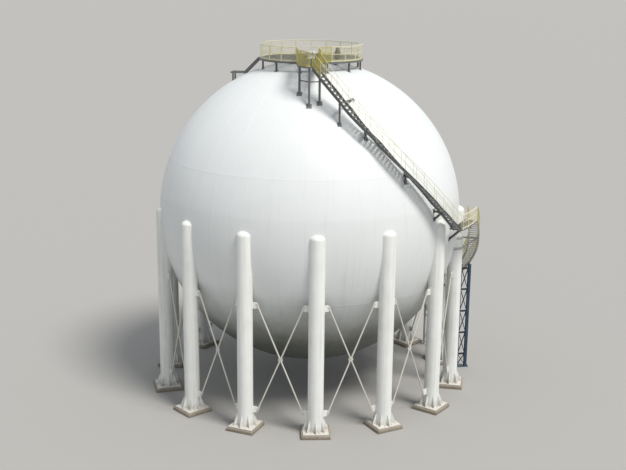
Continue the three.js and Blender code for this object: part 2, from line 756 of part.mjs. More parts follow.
const base = straightStations(basePoint, baseWay, BASE_FOOT_Z, LOWER_SLOPE);

function below(z) {
  return box(60000, 60000, 4000, new THREE.Vector3(0, 0, z - 2000));
}

function baseFlight() {
  const rails = join([flightRail(base, 'outer', []), flightRail(base, 'inner', [])]);
  return flightSolid(base).add(rails).subtract(below(BASE_FOOT_Z + GAP));
}

function footingSolid() {
  const { centre, way } = stationSides(base, base.length - 1);
  const turn = THREE.MathUtils.radToDeg(Math.atan2(way.y, way.x));
  const middle = centre.clone().addScaledVector(way, -80).setZ(BASE_FOOT_Z / 2);
  return box(1200, 1300, BASE_FOOT_Z, middle, turn);
}

// Short stair and landing on the far left, where a walkway arrives
const SIDE_AZIMUTH = 259;
const SIDE_LANDING_Z = DECK_TOP - 1220;
const SIDE_POST = 110;
const SIDE_PLATE = 100;

function sideStations() {
  const from = polar(SIDE_AZIMUTH, DECK_RADIUS + 25, DECK_TOP);
  const way = polar(SIDE_AZIMUTH, 1, 0);
  return straightStations(from, way, SIDE_LANDING_Z, 1.0);
}

const side = sideStations();

function sideStair() {
  const way = polar(SIDE_AZIMUTH, 1, 0);
  const across = new THREE.Vector3(-way.y, way.x, 0);
  const pieces = [flightSolid(side)];
  const start = DECK_RADIUS + 25 + (DECK_TOP - SIDE_LANDING_Z) - 60;
  const middle = polar(SIDE_AZIMUTH, start + 600, SIDE_LANDING_Z - SIDE_PLATE / 2);
  pieces.push(box(1000, 1200, SIDE_PLATE, middle, SIDE_AZIMUTH));
  for (const sign of [-1, 1]) {
    const post = polar(SIDE_AZIMUTH, start + 1000, 0).addScaledVector(across, sign * 420);
    const foot = shellHeightAt(start + 1000) - 250;
    const top = SIDE_LANDING_Z - SIDE_PLATE / 2;
    pieces.push(box(SIDE_POST, SIDE_POST, top - foot, post.setZ((top + foot) / 2), SIDE_AZIMUTH));
  }
  return join(pieces).subtract(ballEnvelope).subtract(deckEnvelope);
}

// Dark valve block standing on the platform: foot, body and bonnet
const VALVE_PLACE = [2000, -1700];
const VALVE_SIDES = 12;

function valveSolid() {
  const [x, y] = VALVE_PLACE;
  const foot = DECK_TOP + GAP;
  const bonnet = new THREE.CylinderGeometry(130, 180, 420, VALVE_SIDES);
  bonnet.rotateX(Math.PI / 2);
  bonnet.translate(x, y, foot + 820);
  return join([
    disc(300, foot, foot + 60, x, y, VALVE_SIDES),
    disc(230, foot + 30, foot + 650, x, y, VALVE_SIDES),
    solidOf(bonnet),
  ]);
}

const tank = new THREE.Group();

tank.add(toMesh('top_crown', topCrown(), whitePaint));
tank.add(toMesh('upper_belt', belt(BELT_EDGE, CROWN_EDGE), whitePaint));
tank.add(toMesh('equator_belt', belt(-BELT_EDGE, BELT_EDGE), whitePaint));
tank.add(toMesh('lower_belt', belt(-CROWN_EDGE, -BELT_EDGE), whitePaint));
tank.add(toMesh('bottom_crown', bottomCrown(), whitePaint));

const columnMesh = toMesh('column', columnSolid(), columnPaint);
const braceMesh = toMesh('brace', braceSolid(), bracePaint);
for (let i = 0; i < COLUMN_COUNT; i += 1) {
  const number = String(i + 1).padStart(2, '0');
  const column = new THREE.Mesh(columnMesh.geometry, columnPaint);
  column.name = `column_${number}`;
  column.position.copy(polar(i * BAY, COLUMN_RING, 0));
  column.rotation.z = rad(i * BAY);
  tank.add(column);
  const brace = new THREE.Mesh(braceMesh.geometry, bracePaint);
  brace.name = `brace_${number}`;
  brace.position.copy(polar((i + 0.5) * BAY, COLUMN_RING * Math.cos(rad(BAY / 2)), BRACE_MIDDLE));
  brace.rotation.z = rad((i + 0.5) * BAY);
  tank.add(brace);
}

tank.add(toMesh('top_platform', platformSolid(), stairPaint));
tank.add(toMesh('platform_rail_right', levelRail(railRight, DECK_TOP), yellowPaint));
tank.add(toMesh('platform_rail_back', levelRail(railBack, DECK_TOP), yellowPaint));
tank.add(toMesh('platform_rail_left', levelRail(railLeft, DECK_TOP), yellowPaint));
const front = frontLanding();
tank.add(toMesh('front_landing', front, stairPaint));

const landing = equatorLanding();
const [under, reach] = [UPPER_LANDING_START, 300];
const underLanding = sector(under, under + 4, LANDING_INNER - reach, LANDING_OUTER + reach, LANDING_Z, 500);
const upperFlight = join([flightSolid(upper), upperBrackets()])
  .subtract(disc(9000, DECK_TOP + GAP, DECK_TOP + 400))
  .subtract(seat(front))
  .subtract(seat(landing))
  .subtract(seat(underLanding));
tank.add(toMesh('upper_stair', upperFlight, stairPaint));
const upperCut = [seat(upperFlight), seat(front), seat(landing)];
tank.add(toMesh('upper_stair_outer_rail', flightRail(upper, 'outer', upperCut), yellowPaint));
tank.add(toMesh('upper_stair_inner_rail', flightRail(upper, 'inner', upperCut), yellowPaint));
tank.add(toMesh('equator_landing', landing, stairPaint));

const middle = middleLanding();
const lowerFlight = join([flightSolid(lower), lowerBrackets()])
  .subtract(seat(landing))
  .subtract(seat(middle));
tank.add(toMesh('lower_stair', lowerFlight, lowerStairPaint));
const lowerCut = [seat(lowerFlight), seat(landing), seat(middle)];
tank.add(toMesh('lower_stair_outer_rail', flightRail(lower, 'outer', lowerCut), yellowPaint));
tank.add(toMesh('lower_stair_inner_rail', flightRail(lower, 'inner', lowerCut), yellowPaint));
const trestleCut = lowerCut[0].add(below(0));
tank.add(toMesh('stair_trestle', trestleSolid(trestleCut), bluePaint));
tank.add(toMesh('middle_landing', middle, lowerStairPaint));

tank.add(toMesh('base_stair', baseFlight().subtract(seat(middle)), lowerStairPaint));
tank.add(toMesh('stair_footing', footingSolid(), concrete));
tank.add(toMesh('side_stair', sideStair(), stairPaint));
tank.add(toMesh('relief_valve', valveSolid(), valvePaint));

// The origin lies on the ground at the middle of the whole outline
const bounds = new THREE.Box3().setFromObject(tank);
tank.position.set(-(bounds.min.x + bounds.max.x) / 2, -(bounds.min.y + bounds.max.y) / 2, 0);

export default tank;
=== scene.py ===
import math

import bmesh
import bpy
from mathutils import Matrix, Vector


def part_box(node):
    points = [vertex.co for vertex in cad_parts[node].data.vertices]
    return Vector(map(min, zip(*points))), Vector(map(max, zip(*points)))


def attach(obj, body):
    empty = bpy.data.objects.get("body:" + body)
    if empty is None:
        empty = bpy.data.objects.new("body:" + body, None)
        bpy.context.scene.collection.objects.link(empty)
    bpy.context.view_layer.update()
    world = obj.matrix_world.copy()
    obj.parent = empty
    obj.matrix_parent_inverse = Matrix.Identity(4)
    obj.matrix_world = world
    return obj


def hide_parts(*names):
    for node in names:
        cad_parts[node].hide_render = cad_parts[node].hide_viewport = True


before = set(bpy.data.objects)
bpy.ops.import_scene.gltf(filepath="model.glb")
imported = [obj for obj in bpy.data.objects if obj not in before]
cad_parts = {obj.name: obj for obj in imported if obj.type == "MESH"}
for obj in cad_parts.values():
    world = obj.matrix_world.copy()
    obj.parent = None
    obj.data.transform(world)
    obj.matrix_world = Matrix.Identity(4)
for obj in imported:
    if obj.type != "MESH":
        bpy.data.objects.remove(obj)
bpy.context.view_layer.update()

scene = bpy.context.scene

# Viewpoint
# The photograph was taken from 85 m in front of the tank and 34 m above the ground, a little
# higher than the platform. The camera stands there and turns by the shortest way from the
# middle of the photograph to the middle of the tank, with a longer lens.
camera_place = Vector((-4.60, -85.89, 34.35))
photo_pitch = math.radians(5.64)
photo_yaw = math.radians(5.25)
photo_roll = math.radians(-0.83)
tank_middle = Vector((-0.25, -0.64, 12.5))
lens_mm = 60.0
view_depth = 4000

level = Matrix.Rotation(photo_yaw, 3, "Z") @ Matrix.Rotation(math.pi / 2 - photo_pitch, 3, "X")
facing = level @ Matrix.Rotation(photo_roll, 3, "Z")
turn = (facing @ Vector((0, 0, -1))).rotation_difference(tank_middle - camera_place)
camera = bpy.data.objects.new("camera", bpy.data.cameras.new("camera"))
camera.location = camera_place
camera.rotation_mode = "QUATERNION"
camera.rotation_quaternion = turn @ facing.to_quaternion()
camera.data.lens = lens_mm
camera.data.clip_end = view_depth
scene.collection.objects.link(camera)
scene.camera = camera

# Studio
# A plain pale floor under an even pale sky, and one broad soft lamp that stands as high
# on the right as the sun did, so that columns and stair throw soft shadows to the left.
floor_radius = 1500
floor_tint = (0.39, 0.38, 0.36, 1)
floor_roughness = 0.9
sun_way = Vector((0.55, -0.54, 1.22))
sun_spread = math.radians(20)
sun_strength = 3.1
sun_tint = (1.0, 0.97, 0.93)
sky_tint = (0.88, 0.93, 1.0, 1)
sky_strength = 0.58

ground = bmesh.new()
bmesh.ops.create_circle(ground, cap_ends=True, segments=96, radius=floor_radius)
floor_mesh = bpy.data.meshes.new("floor")
ground.to_mesh(floor_mesh)
ground.free()
floor = bpy.data.objects.new("floor", floor_mesh)
scene.collection.objects.link(floor)
floor_finish = bpy.data.materials.new("pale floor")
floor_finish.use_nodes = True
floor_shader = floor_finish.node_tree.nodes["Principled BSDF"]
floor_shader.inputs["Base Color"].default_value = floor_tint
floor_shader.inputs["Roughness"].default_value = floor_roughness
floor_mesh.materials.append(floor_finish)

sun = bpy.data.objects.new("sun", bpy.data.lights.new("sun", "SUN"))
sun.data.energy = sun_strength
sun.data.angle = sun_spread
sun.data.color = sun_tint
sun.rotation_mode = "QUATERNION"
sun.rotation_quaternion = sun_way.to_track_quat("Z", "Y")
scene.collection.objects.link(sun)
scene.world = bpy.data.worlds.new("sky")
scene.world.use_nodes = True
sky = scene.world.node_tree.nodes["Background"]
sky.inputs["Color"].default_value = sky_tint
sky.inputs["Strength"].default_value = sky_strength
scene.view_settings.view_transform = "Standard"

# The ball
# A pressure shell of rolled steel plates 46 mm thick, welded edge to edge in five rings.
# The plates are lifted ring by ring between the columns, and the whole is blasted and
# painted white on site. The weld beads stay proud under the paint.
belt_low, belt_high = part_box("equator_belt")
ball_centre = (belt_low + belt_high) / 2
ball_level = ball_centre.z
ball_radius = max(belt_high.x - belt_low.x, belt_high.y - belt_low.y) / 2
tank_axis = Vector((ball_centre.x, ball_centre.y, 0))
upward = Vector((0, 0, 1))
wall = 0.046
belt_edge = 22.5
crown_edge = 67.5
crown_seam = 2.3
plates_per_belt = 28
plate_tint = (0.79, 0.815, 0.81, 1)
# The grey of grime, which also carries painted shade towards the bottom of the ball
plate_grime_and_shade = (0.52, 0.53, 0.50, 1)
grey_step_level = 1.9
# A dark film over the bottom of the ball, partly grime and partly painted shade of the underside
underside_dirt_and_shade_tint = (0.065, 0.075, 0.06, 1)
underside_dirt_and_shade_start = -3.5
underside_dirt_and_shade_end = -9.6
underside_dirt_and_shade_strength = 0.93
ball_steps = 168
bead_half = 0.020
bead_height = 0.005
bead_root = -0.003
same_spot = 1e-4
ring_gap = 1e-3
smooth_below = math.radians(32)


def turned(degrees, axis="Z"):
    return Matrix.Rotation(math.radians(degrees), 4, axis)


def placed(spot, x_way, y_way, z_way):
    """A place at a point, with the ways of its own X, Y and Z"""
    return Matrix.Translation(spot) @ Matrix((x_way, y_way, z_way)).transposed().to_4x4()


def polar(azimuth, radius, level):
    """A point about the tank's axis; azimuth 0 is the front and 90 the right"""
    turn = math.radians(azimuth)
    return Vector((radius * math.sin(turn), -radius * math.cos(turn), level))


def ball_rise(reach):
    """How far the ball's skin lies from its middle plane, at a distance from the middle"""
    return math.sqrt(ball_radius ** 2 - reach ** 2)


def on_ball(azimuth, latitude):
    up = math.radians(latitude)
    return polar(azimuth, ball_radius * math.cos(up), ball_level + ball_radius * math.sin(up))


def finished(bm, name, slot, materials, *nodes):
    """The finished piece, moved from the origin to the tank's axis, in the place of its nodes"""
    bmesh.ops.translate(bm, verts=bm.verts, vec=tank_axis)
    bmesh.ops.recalc_face_normals(bm, faces=bm.faces)
    mesh = bpy.data.meshes.new(name)
    bm.to_mesh(mesh)
    bm.free()
    mesh.shade_smooth()
    mesh.set_sharp_from_angle(angle=smooth_below)
    for material in materials:
        mesh.materials.append(material)
    piece = bpy.data.objects.new(name, mesh)
    scene.collection.objects.link(piece)
    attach(piece, "root")
    if nodes:
        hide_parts(*nodes)


def welded(bm, part, places=(Matrix.Identity(4),), material=0):
    """Adds copies of a part to a piece, one at each place, and lets go of the part"""
    for face in part.faces:
        face.material_index = material
    for place in places:
        copy = bpy.data.meshes.new("part")
        part.to_mesh(copy)
        copy.transform(place)
        bm.from_mesh(copy)
        bpy.data.meshes.remove(copy)
    part.free()


def swept(bm, outline, places, closed=False):
    """Draws an outline of (across, up) points along a line of places; a closed one meets itself"""
    part = bmesh.new()
    ring = [part.verts.new(places[0] @ Vector((x, y, 0))) for x, y in outline]
    edges = [part.edges.new((ring[i - 1], ring[i])) for i in range(len(ring))]
    if not closed:
        bmesh.ops.contextual_create(part, geom=edges)
    first = ring
    for before, after in zip(places, places[1:]):
        grown = bmesh.ops.extrude_edge_only(part, edges=edges)["geom"]
        ring = [item for item in grown if isinstance(item, bmesh.types.BMVert)]
        edges = [item for item in grown if isinstance(item, bmesh.types.BMEdge)
                 and all(vert in ring for vert in item.verts)]
        bmesh.ops.transform(part, matrix=after @ before.inverted(), verts=ring)
    if closed:
        bmesh.ops.remove_doubles(part, verts=[*first, *ring], dist=ring_gap)
    else:
        bmesh.ops.contextual_create(part, geom=edges)
    welded(bm, part)


def lathe(profile, steps):
    """A closed body spun from a ring of (radius, level) points, less the edge on the axis"""
    bm = bmesh.new()
    verts = [bm.verts.new((radius, 0, level)) for radius, level in profile]
    edges = [bm.edges.new(pair) for pair in zip(verts, verts[1:] + verts[:1])
             if max(vert.co.x for vert in pair) > same_spot]
    bmesh.ops.spin(bm, geom=[*verts, *edges], cent=(0, 0, 0), axis=upward, angle=2 * math.pi,
                   steps=steps, use_merge=True)
    bmesh.ops.remove_doubles(bm, verts=bm.verts, dist=same_spot)
    return bm


def plate_ring(start, end):
    """A ring of shell plates between two latitudes"""
    steps = round((end - start) / 2.8125)
    rises = [math.radians(start + (end - start) * i / steps) for i in range(steps + 1)]
    skins = [(ball_radius, up) for up in rises] + [(ball_radius - wall, up) for up in reversed(rises)]
    return lathe([(radius * math.cos(up), ball_level + radius * math.sin(up)) for radius, up in skins],
                 ball_steps)


def bead(bm, points):
    """A weld bead along points of the ball, closed where it ends at its first point"""
    closed = points[0] == points[-1]
    before = points[-2] if closed else points[0]
    after = points[1] if closed else points[-1]
    places = []
    for behind, point, ahead in zip([before, *points], points, [*points[1:], after]):
        up = (point - upward * ball_level).normalized()
        along = (ahead - behind).normalized()
        places.append(placed(point, along.cross(up).normalized(), up, along))
    outline = [(-bead_half, bead_root), (bead_half, bead_root), (bead_half * 0.5, bead_height),
               (-bead_half * 0.5, bead_height)]
    swept(bm, outline, places, closed)


def feed(tree, socket, value):
    """Gives an input its value, or links it to the socket that feeds it"""
    if isinstance(value, bpy.types.NodeSocket):
        tree.links.new(value, socket)
    else:
        socket.default_value = value


def add(tree, kind, inputs=None, **settings):
    """One shader node with its settings and inputs"""
    node = tree.nodes.new("ShaderNode" + kind)
    for name, value in settings.items():
        setattr(node, name, value)
    for name, value in (inputs or {}).items():
        feed(tree, node.inputs[name], value)
    return node


def sum_of(tree, operation, first, second=0.0, third=0.0):
    """The result of one sum on values or sockets"""
    return add(tree, "Math", {0: first, 1: second, 2: third}, operation=operation).outputs[0]


def weighed(tree, *shares):
    """Masks added up, each times its weight"""
    total = 0.0
    for mask, weight in shares:
        total = sum_of(tree, "MULTIPLY_ADD", mask, weight, total)
    return total


def blend(tree, mask, under, over):
    """The under colour where the mask is 0 and the over colour where it is 1"""
    return add(tree, "Mix", {"Factor": mask, 6: under, 7: over}, data_type="RGBA").outputs[2]


def between(tree, value, low, high, start=0.0, end=1.0, curve="LINEAR"):
    """A value carried from one range to another, and held there"""
    given = {"Value": value, "From Min": low, "From Max": high, "To Min": start, "To Max": end}
    return add(tree, "MapRange", given, clamp=True, interpolation_type=curve).outputs["Result"]


def noise(tree, place, scale, detail, roughness=0.5):
    given = {"Vector": place, "Scale": scale, "Detail": detail, "Roughness": roughness}
    return add(tree, "TexNoise", given).outputs["Fac"]


def effect(name, **values):
    """A shared shader group, still empty, that is to make a mask from a place and some values"""
    group = bpy.data.node_groups.new(name, "ShaderNodeTree")
    group.interface.new_socket("Vector", in_out="INPUT", socket_type="NodeSocketVector")
    for label, value in values.items():
        group.interface.new_socket(label, in_out="INPUT", socket_type="NodeSocketFloat").default_value = value
    group.interface.new_socket("Mask", in_out="OUTPUT", socket_type="NodeSocketFloat")
    mask = group.nodes.new("NodeGroupOutput").inputs["Mask"]
    return group, group.nodes.new("NodeGroupInput").outputs, mask


def used(tree, group, **inputs):
    """The mask of a shared effect, placed in a material with its own values"""
    return add(tree, "Group", inputs, node_tree=group).outputs["Mask"]


def finish(name):
    """A new material, and the object's own coordinates in it"""
    material = bpy.data.materials.new(name)
    material.use_nodes = True
    tree = material.node_tree
    return material, tree, tree.nodes.new("ShaderNodeTexCoord").outputs["Object"]


def surfaced(tree, colour, roughness, height, strength, distance):
    """Gives the material's shader its colour, roughness and bump"""
    shader = tree.nodes["Principled BSDF"].inputs
    bump = add(tree, "Bump", {"Height": height, "Strength": strength, "Distance": distance})
    feed(tree, shader["Base Color"], colour)
    feed(tree, shader["Roughness"], roughness)
    feed(tree, shader["Normal"], bump.outputs["Normal"])


# Uneven tone of paint that has weathered: broad clouds with finer ones on them
weathering, given, mask = effect("weathering", Scale=1.0)
broad = noise(weathering, given["Vector"], given["Scale"], 5.0, 0.62)
weathering.links.new(between(weathering, broad, 0.32, 0.68), mask)

# Streaks that rain leaves down a painted face
streaks, given, mask = effect("rain streaks", Across=6.0, Down=0.2, Start=0.55)
drawn = add(streaks, "CombineXYZ", {0: given["Across"], 1: given["Across"], 2: given["Down"]})
stretched = add(streaks, "VectorMath", {0: given["Vector"], 1: drawn.outputs[0]}, operation="MULTIPLY")
runs = noise(streaks, stretched.outputs[0], 1.0, 3.0, 0.6)
end_of_streak = sum_of(streaks, "ADD", given["Start"], 0.25)
streaks.links.new(between(streaks, runs, given["Start"], end_of_streak), mask)


def ball_finish():
    """White satin paint: plates of slightly different shade, greyer below the level of the column heads, with
    rain streaks, and darker towards the bottom under a dark film that is partly grime and partly painted
    shade of the underside"""
    material, tree, place = finish("ball paint")
    apart = add(tree, "SeparateXYZ", {0: place}).outputs
    across, deep, rise = [sum_of(tree, "SUBTRACT", apart[i], ball_centre[i]) for i in range(3)]
    azimuth = sum_of(tree, "ARCTAN2", across, sum_of(tree, "MULTIPLY", deep, -1.0))
    plate_column = sum_of(tree, "FLOOR", sum_of(tree, "MULTIPLY", azimuth, plates_per_belt / (2 * math.pi)))
    latitude = sum_of(tree, "ARCSINE", sum_of(tree, "DIVIDE", rise, ball_radius * 1.001))
    belt = sum_of(tree, "FLOOR", sum_of(tree, "MULTIPLY_ADD", latitude, 90 / math.pi / belt_edge, 0.5))
    plate_number = add(tree, "CombineXYZ", {0: plate_column, 1: belt, 2: 0.0}).outputs[0]
    shade = add(tree, "TexWhiteNoise", {"Vector": plate_number}, noise_dimensions="3D").outputs["Value"]
    clouds = used(tree, weathering, Vector=place, Scale=0.22)
    fine = used(tree, weathering, Vector=place, Scale=2.6)
    unrolled = add(tree, "CombineXYZ", {0: sum_of(tree, "MULTIPLY", azimuth, ball_radius), 1: 0.0, 2: rise})
    runs = used(tree, streaks, Vector=unrolled.outputs[0], Across=2.6, Down=0.12, Start=0.54)
    # Darker towards the bottom: partly grime, partly painted shade of the underside
    low = between(tree, rise, 3.0, -9.0)
    # A step to a slightly greyer tone below a level just above the column heads
    grey_step = between(tree, rise, grey_step_level + 0.15, grey_step_level - 0.15)
    strength = between(tree, rise, 6.0, -2.0, 0.08, 0.22)
    # The grime here holds painted shade of the underside along with real dirt and streaks
    grime = weighed(tree, (low, 0.12), (runs, strength), (grey_step, 0.10), (clouds, 0.07), (fine, 0.04),
                    (shade, 0.03))
    # The dark film at the bottom: partly grime, partly painted shade of the underside
    ragged = sum_of(tree, "MULTIPLY_ADD", sum_of(tree, "SUBTRACT", clouds, 0.5), 1.4, rise)
    underside_dirt_and_shade = between(tree, ragged, underside_dirt_and_shade_start, underside_dirt_and_shade_end, 0.0, underside_dirt_and_shade_strength, "SMOOTHSTEP")
    colour = blend(tree, underside_dirt_and_shade, blend(tree, grime, plate_tint, plate_grime_and_shade), underside_dirt_and_shade_tint)
    waves = noise(tree, place, 0.55, 1.0)
    peel = noise(tree, place, 45.0, 2.0)
    height = weighed(tree, (waves, 1.0), (peel, 0.02))
    surfaced(tree, colour, between(tree, grime, 0.0, 0.5, 0.33, 0.62), height, 0.10, 0.05)
    return material


ball_paint = ball_finish()
for ring_name, start, end in [
    ("top_crown", crown_edge, 90),
    ("upper_belt", belt_edge, crown_edge),
    ("equator_belt", -belt_edge, belt_edge),
    ("lower_belt", -crown_edge, -belt_edge),
    ("bottom_crown", -90, -crown_edge),
]:
    finished(plate_ring(start, end), "shell_" + ring_name, "ball_paint", [ball_paint], ring_name)

seams = bmesh.new()
for latitude in (-crown_edge, -belt_edge, belt_edge, crown_edge):
    line = [on_ball(360 * i / ball_steps, latitude) for i in range(ball_steps)]
    bead(seams, [*line, line[0]])
for start, end, offset in ((-crown_edge, -belt_edge, 0.5), (-belt_edge, belt_edge, 0),
                           (belt_edge, crown_edge, 0.5)):
    for i in range(plates_per_belt):
        azimuth = (i + offset) * 360 / plates_per_belt
        bead(seams, [on_ball(azimuth, start + (end - start) * k / 14) for k in range(15)])
crown_chord = math.sqrt((ball_radius * math.cos(math.radians(crown_edge))) ** 2 - crown_seam ** 2)
for turn, reach in ((0, crown_chord), (90, crown_seam)):
    for side in (-1, 1):
        flat = [turned(turn) @ Vector((side * crown_seam, reach * (k / 8 - 1), 0)) for k in range(17)]
        for flip in (1, -1):
            bead(seams, [spot + upward * (ball_level + flip * ball_rise(spot.length)) for spot in flat])
finished(seams, "weld_beads", "ball_paint", [ball_paint])

# Columns
# Fourteen steel tubes 1.2 m across in a matt fireproof coat, set a little into the ball at its
# equator. Each is closed by a dished cap, welded to the shell all round its saddle, and stands
# on a square base plate that gussets stiffen and anchor bolts hold down to a concrete plinth.
column_count = 14
bay = 360 / column_count
column_ring = 12.25
column_radius = 0.6
column_sides = 48
column_inside = column_radius - 0.02
eased_above = 0.6
shoulder = ball_level + 0.56
cap_height = 0.39
cap_edge = 0.985
saddle_weld = 0.026
hoops = ((3.1, 180), (5.7, 180), (8.3, 180), (12.3, 97.5))
plinth_side = 2.2
plinth_height = 0.3
grout = 0.03
base_side = 1.96
base_top = plinth_height + 0.06
gusset_count = 8
gusset_foot = 0.94
gusset_toe = 0.14
gusset_height = 0.84
gusset_thickness = 0.028
anchor_ring = 0.8
tab_heights = (9.95, 1.6)
tab_reach = 0.98
tab_height = 0.5
tab_corner = 0.09
tab_thickness = 0.04
tab_pad = (-0.01, -0.33, 0.014, 0.33)
earth_boss = base_top + 0.45
coat_tint = (0.81, 0.82, 0.79, 1)
coat_grime = (0.37, 0.35, 0.30, 1)
splash_tint = (0.27, 0.20, 0.13, 1)
concrete_tint = (0.34, 0.30, 0.24, 1)
concrete_dark = (0.19, 0.155, 0.11, 1)


def shift(x, y, z):
    return Matrix.Translation((x, y, z))


def drum(bm, radius, low, high, sides=16, top_radius=None, at=(0, 0)):
    """An upright round body between two heights"""
    part = bmesh.new()
    bmesh.ops.create_cone(part, cap_ends=True, segments=sides, radius1=radius,
                          radius2=radius if top_radius is None else top_radius, depth=high - low)
    welded(bm, part, [shift(*at, (low + high) / 2)])


def block(bm, size, middle, place=Matrix.Identity(4)):
    """A box of a given size about its middle"""
    part = bmesh.new()
    bmesh.ops.create_cube(part, size=1)
    welded(bm, part, [place @ Matrix.Translation(middle) @ Matrix.Diagonal((*size, 1))])


def eased(bm, width, segments=2):
    """Takes the sharpness off every edge that turns by more than an angle in radians"""
    bmesh.ops.recalc_face_normals(bm, faces=bm.faces)
    edges = [edge for edge in bm.edges if edge.is_manifold and edge.calc_face_angle() > eased_above]
    bmesh.ops.bevel(bm, geom=edges, offset=width, affect="EDGES", segments=segments, profile=0.5, material=-1)
    return bm


def eased_block(size, middle, width, segments=2):
    part = bmesh.new()
    block(part, size, middle)
    return eased(part, width, segments)


def plate(outline, thickness, ease=0.0):
    """A flat plate cut to (across, up) points, with its thickness about its middle plane"""
    part = bmesh.new()
    face = part.faces.new([part.verts.new((x, -thickness / 2, z)) for x, z in outline])
    grown = bmesh.ops.extrude_face_region(part, geom=[face])["geom"]
    moved = [item for item in grown if isinstance(item, bmesh.types.BMVert)]
    bmesh.ops.translate(part, verts=moved, vec=(0, thickness, 0))
    return eased(part, ease, 1) if ease else part


def hex_bolts(bm, places, head=0.03, reach=0.05):
    """Washers, nuts and the ends of their bolts, each standing along its place's upward way"""
    part = bmesh.new()
    drum(part, head * 1.35, -0.002, head * 0.22, 12)
    drum(part, head, head * 0.22, head * 1.1, 6)
    drum(part, head * 0.52, head * 1.1, reach, 8)
    welded(bm, part, places)


def hoop_places(radius, level, start=0.0, end=360.0, steps=72):
    """Places round an upright axis, X outwards and Y up"""
    places = []
    for i in range(steps + 1):
        out = polar(start + (end - start) * i / steps, 1, 0)
        places.append(placed(out * radius + upward * level, out, upward, out.cross(upward)))
    return places


def round_places(count, radius=0.0, level=0.0, first=0.0):
    """Places all round the origin, the first turned by a share of their spacing"""
    return [turned(360 * (i + first) / count) @ shift(radius, 0, level) for i in range(count)]


def strip(left, low, right, high):
    """A rectangle's (across, up) outline"""
    return [(left, low), (right, low), (right, high), (left, high)]


def round_section(radius, sides):
    turns = [2 * math.pi * i / sides for i in range(sides)]
    return [(radius * math.cos(turn), radius * math.sin(turn)) for turn in turns]


def less_ball(bm, centre, radius):
    """Cuts the ball out of a piece where it stands into the shell"""
    operands = []
    ball = bmesh.new()
    bmesh.ops.create_uvsphere(ball, u_segments=ball_steps, v_segments=ball_steps // 2, radius=radius,
                              matrix=Matrix.Translation(centre))
    for part in (bm, ball):
        mesh = bpy.data.meshes.new("cut")
        bmesh.ops.recalc_face_normals(part, faces=part.faces)
        part.to_mesh(mesh)
        operands.append(bpy.data.objects.new("cut", mesh))
        scene.collection.objects.link(operands[-1])
    ball.free()
    cutting = operands[0].modifiers.new("cut", "BOOLEAN")
    cutting.operation = "DIFFERENCE"
    cutting.object = operands[1]
    cutting.solver = "EXACT"
    result = bpy.data.meshes.new_from_object(operands[0].evaluated_get(bpy.context.evaluated_depsgraph_get()))
    bm.clear()
    bm.from_mesh(result)
    bpy.data.meshes.remove(result)
    for operand in operands:
        mesh = operand.data
        bpy.data.objects.remove(operand)
        bpy.data.meshes.remove(mesh)


def meeting(height, radius):
    """Where a level circle round the column meets the ball, on one side; nowhere is an empty list"""
    reach = ball_rise(height - ball_level)
    cosine = (column_ring ** 2 + radius ** 2 - reach ** 2) / (2 * column_ring * radius)
    if abs(cosine) >= 1:
        return []
    return [Vector((radius * math.sqrt(1 - cosine ** 2), radius * cosine, height))]


def saddle_line():
    """Points of the weld where a column's skin meets the ball, from the cap down and up again"""
    half = []
    for i in range(39, -1, -1):
        rise = cap_edge * math.sin(i / 39 * math.pi / 2)
        half += meeting(shoulder + cap_height * rise, column_radius * math.sqrt(1 - rise ** 2))
    lowest = ball_level - ball_rise(column_ring - column_radius)
    for i in range(1, 46):
        half += meeting(lowest + (shoulder - lowest) * (1 - i / 46) ** 2, column_radius)
    mirrored = [Vector((-spot.x, spot.y, spot.z)) for spot in reversed(half)]
    return [*half, Vector((0, column_radius, lowest)), *mirrored]


# Dirt that rain splashes up from the ground, fading with height
splash, given, mask = effect("ground splash", Ground=0.3, Reach=1.2)
height_of = add(splash, "SeparateXYZ", {0: given["Vector"]}).outputs["Z"]
ragged = noise(splash, given["Vector"], 3.5, 4.0, 0.65)
lifted = sum_of(splash, "SUBTRACT", height_of, given["Ground"])
faded = sum_of(splash, "SUBTRACT", 1.0, sum_of(splash, "DIVIDE", lifted, given["Reach"]))
spread = sum_of(splash, "MULTIPLY_ADD", sum_of(splash, "SUBTRACT", ragged, 0.5), 1.6, faded)
splash.links.new(between(splash, spread, 0.25, 1.0), mask)


def coat_finish(name, tint, reach, grain, roughness):
    """A matt sprayed coat: orange peel, rain streaks down it and brown splash at its foot"""
    material, tree, place = finish(name)
    clouds = used(tree, weathering, Vector=place, Scale=0.8)
    runs = used(tree, streaks, Vector=place, Across=5.5, Down=0.16, Start=0.52)
    dirt = used(tree, splash, Vector=place, Ground=plinth_height, Reach=reach)
    grime = weighed(tree, (clouds, 0.12), (runs, 0.34))
    colour = blend(tree, weighed(tree, (dirt, 0.40)), blend(tree, grime, tint, coat_grime), splash_tint)
    height = weighed(tree, (noise(tree, place, 2.2, 1.0), 1.0), (noise(tree, place, grain, 3.0), 0.25))
    rough = between(tree, grime, 0.0, 0.4, roughness - 0.1, roughness + 0.12)
    surfaced(tree, colour, rough, height, 0.25, 0.012)
    return material


def concrete_finish():
    """Cast concrete: cement clouds, small pores, dark damp near the ground"""
    material, tree, place = finish("cast concrete")
    clouds = used(tree, weathering, Vector=place, Scale=1.7)
    pores = add(tree, "TexVoronoi", {"Vector": place, "Scale": 26.0}).outputs["Distance"]
    pitted = between(tree, pores, 0.06, 0.16, 1.0, 0.0)
    damp = used(tree, splash, Vector=place, Ground=0.0, Reach=0.32)
    shade = weighed(tree, (clouds, 0.45), (damp, 0.5), (pitted, 0.2))
    height = weighed(tree, (noise(tree, place, 60.0, 4.0), 1.0), (pitted, -0.6))
    surfaced(tree, blend(tree, shade, concrete_tint, concrete_dark), 0.9, height, 0.5, 0.004)
    return material


column_coat = coat_finish("column coat", coat_tint, 0.75, 38.0, 0.78)
cast_concrete = concrete_finish()

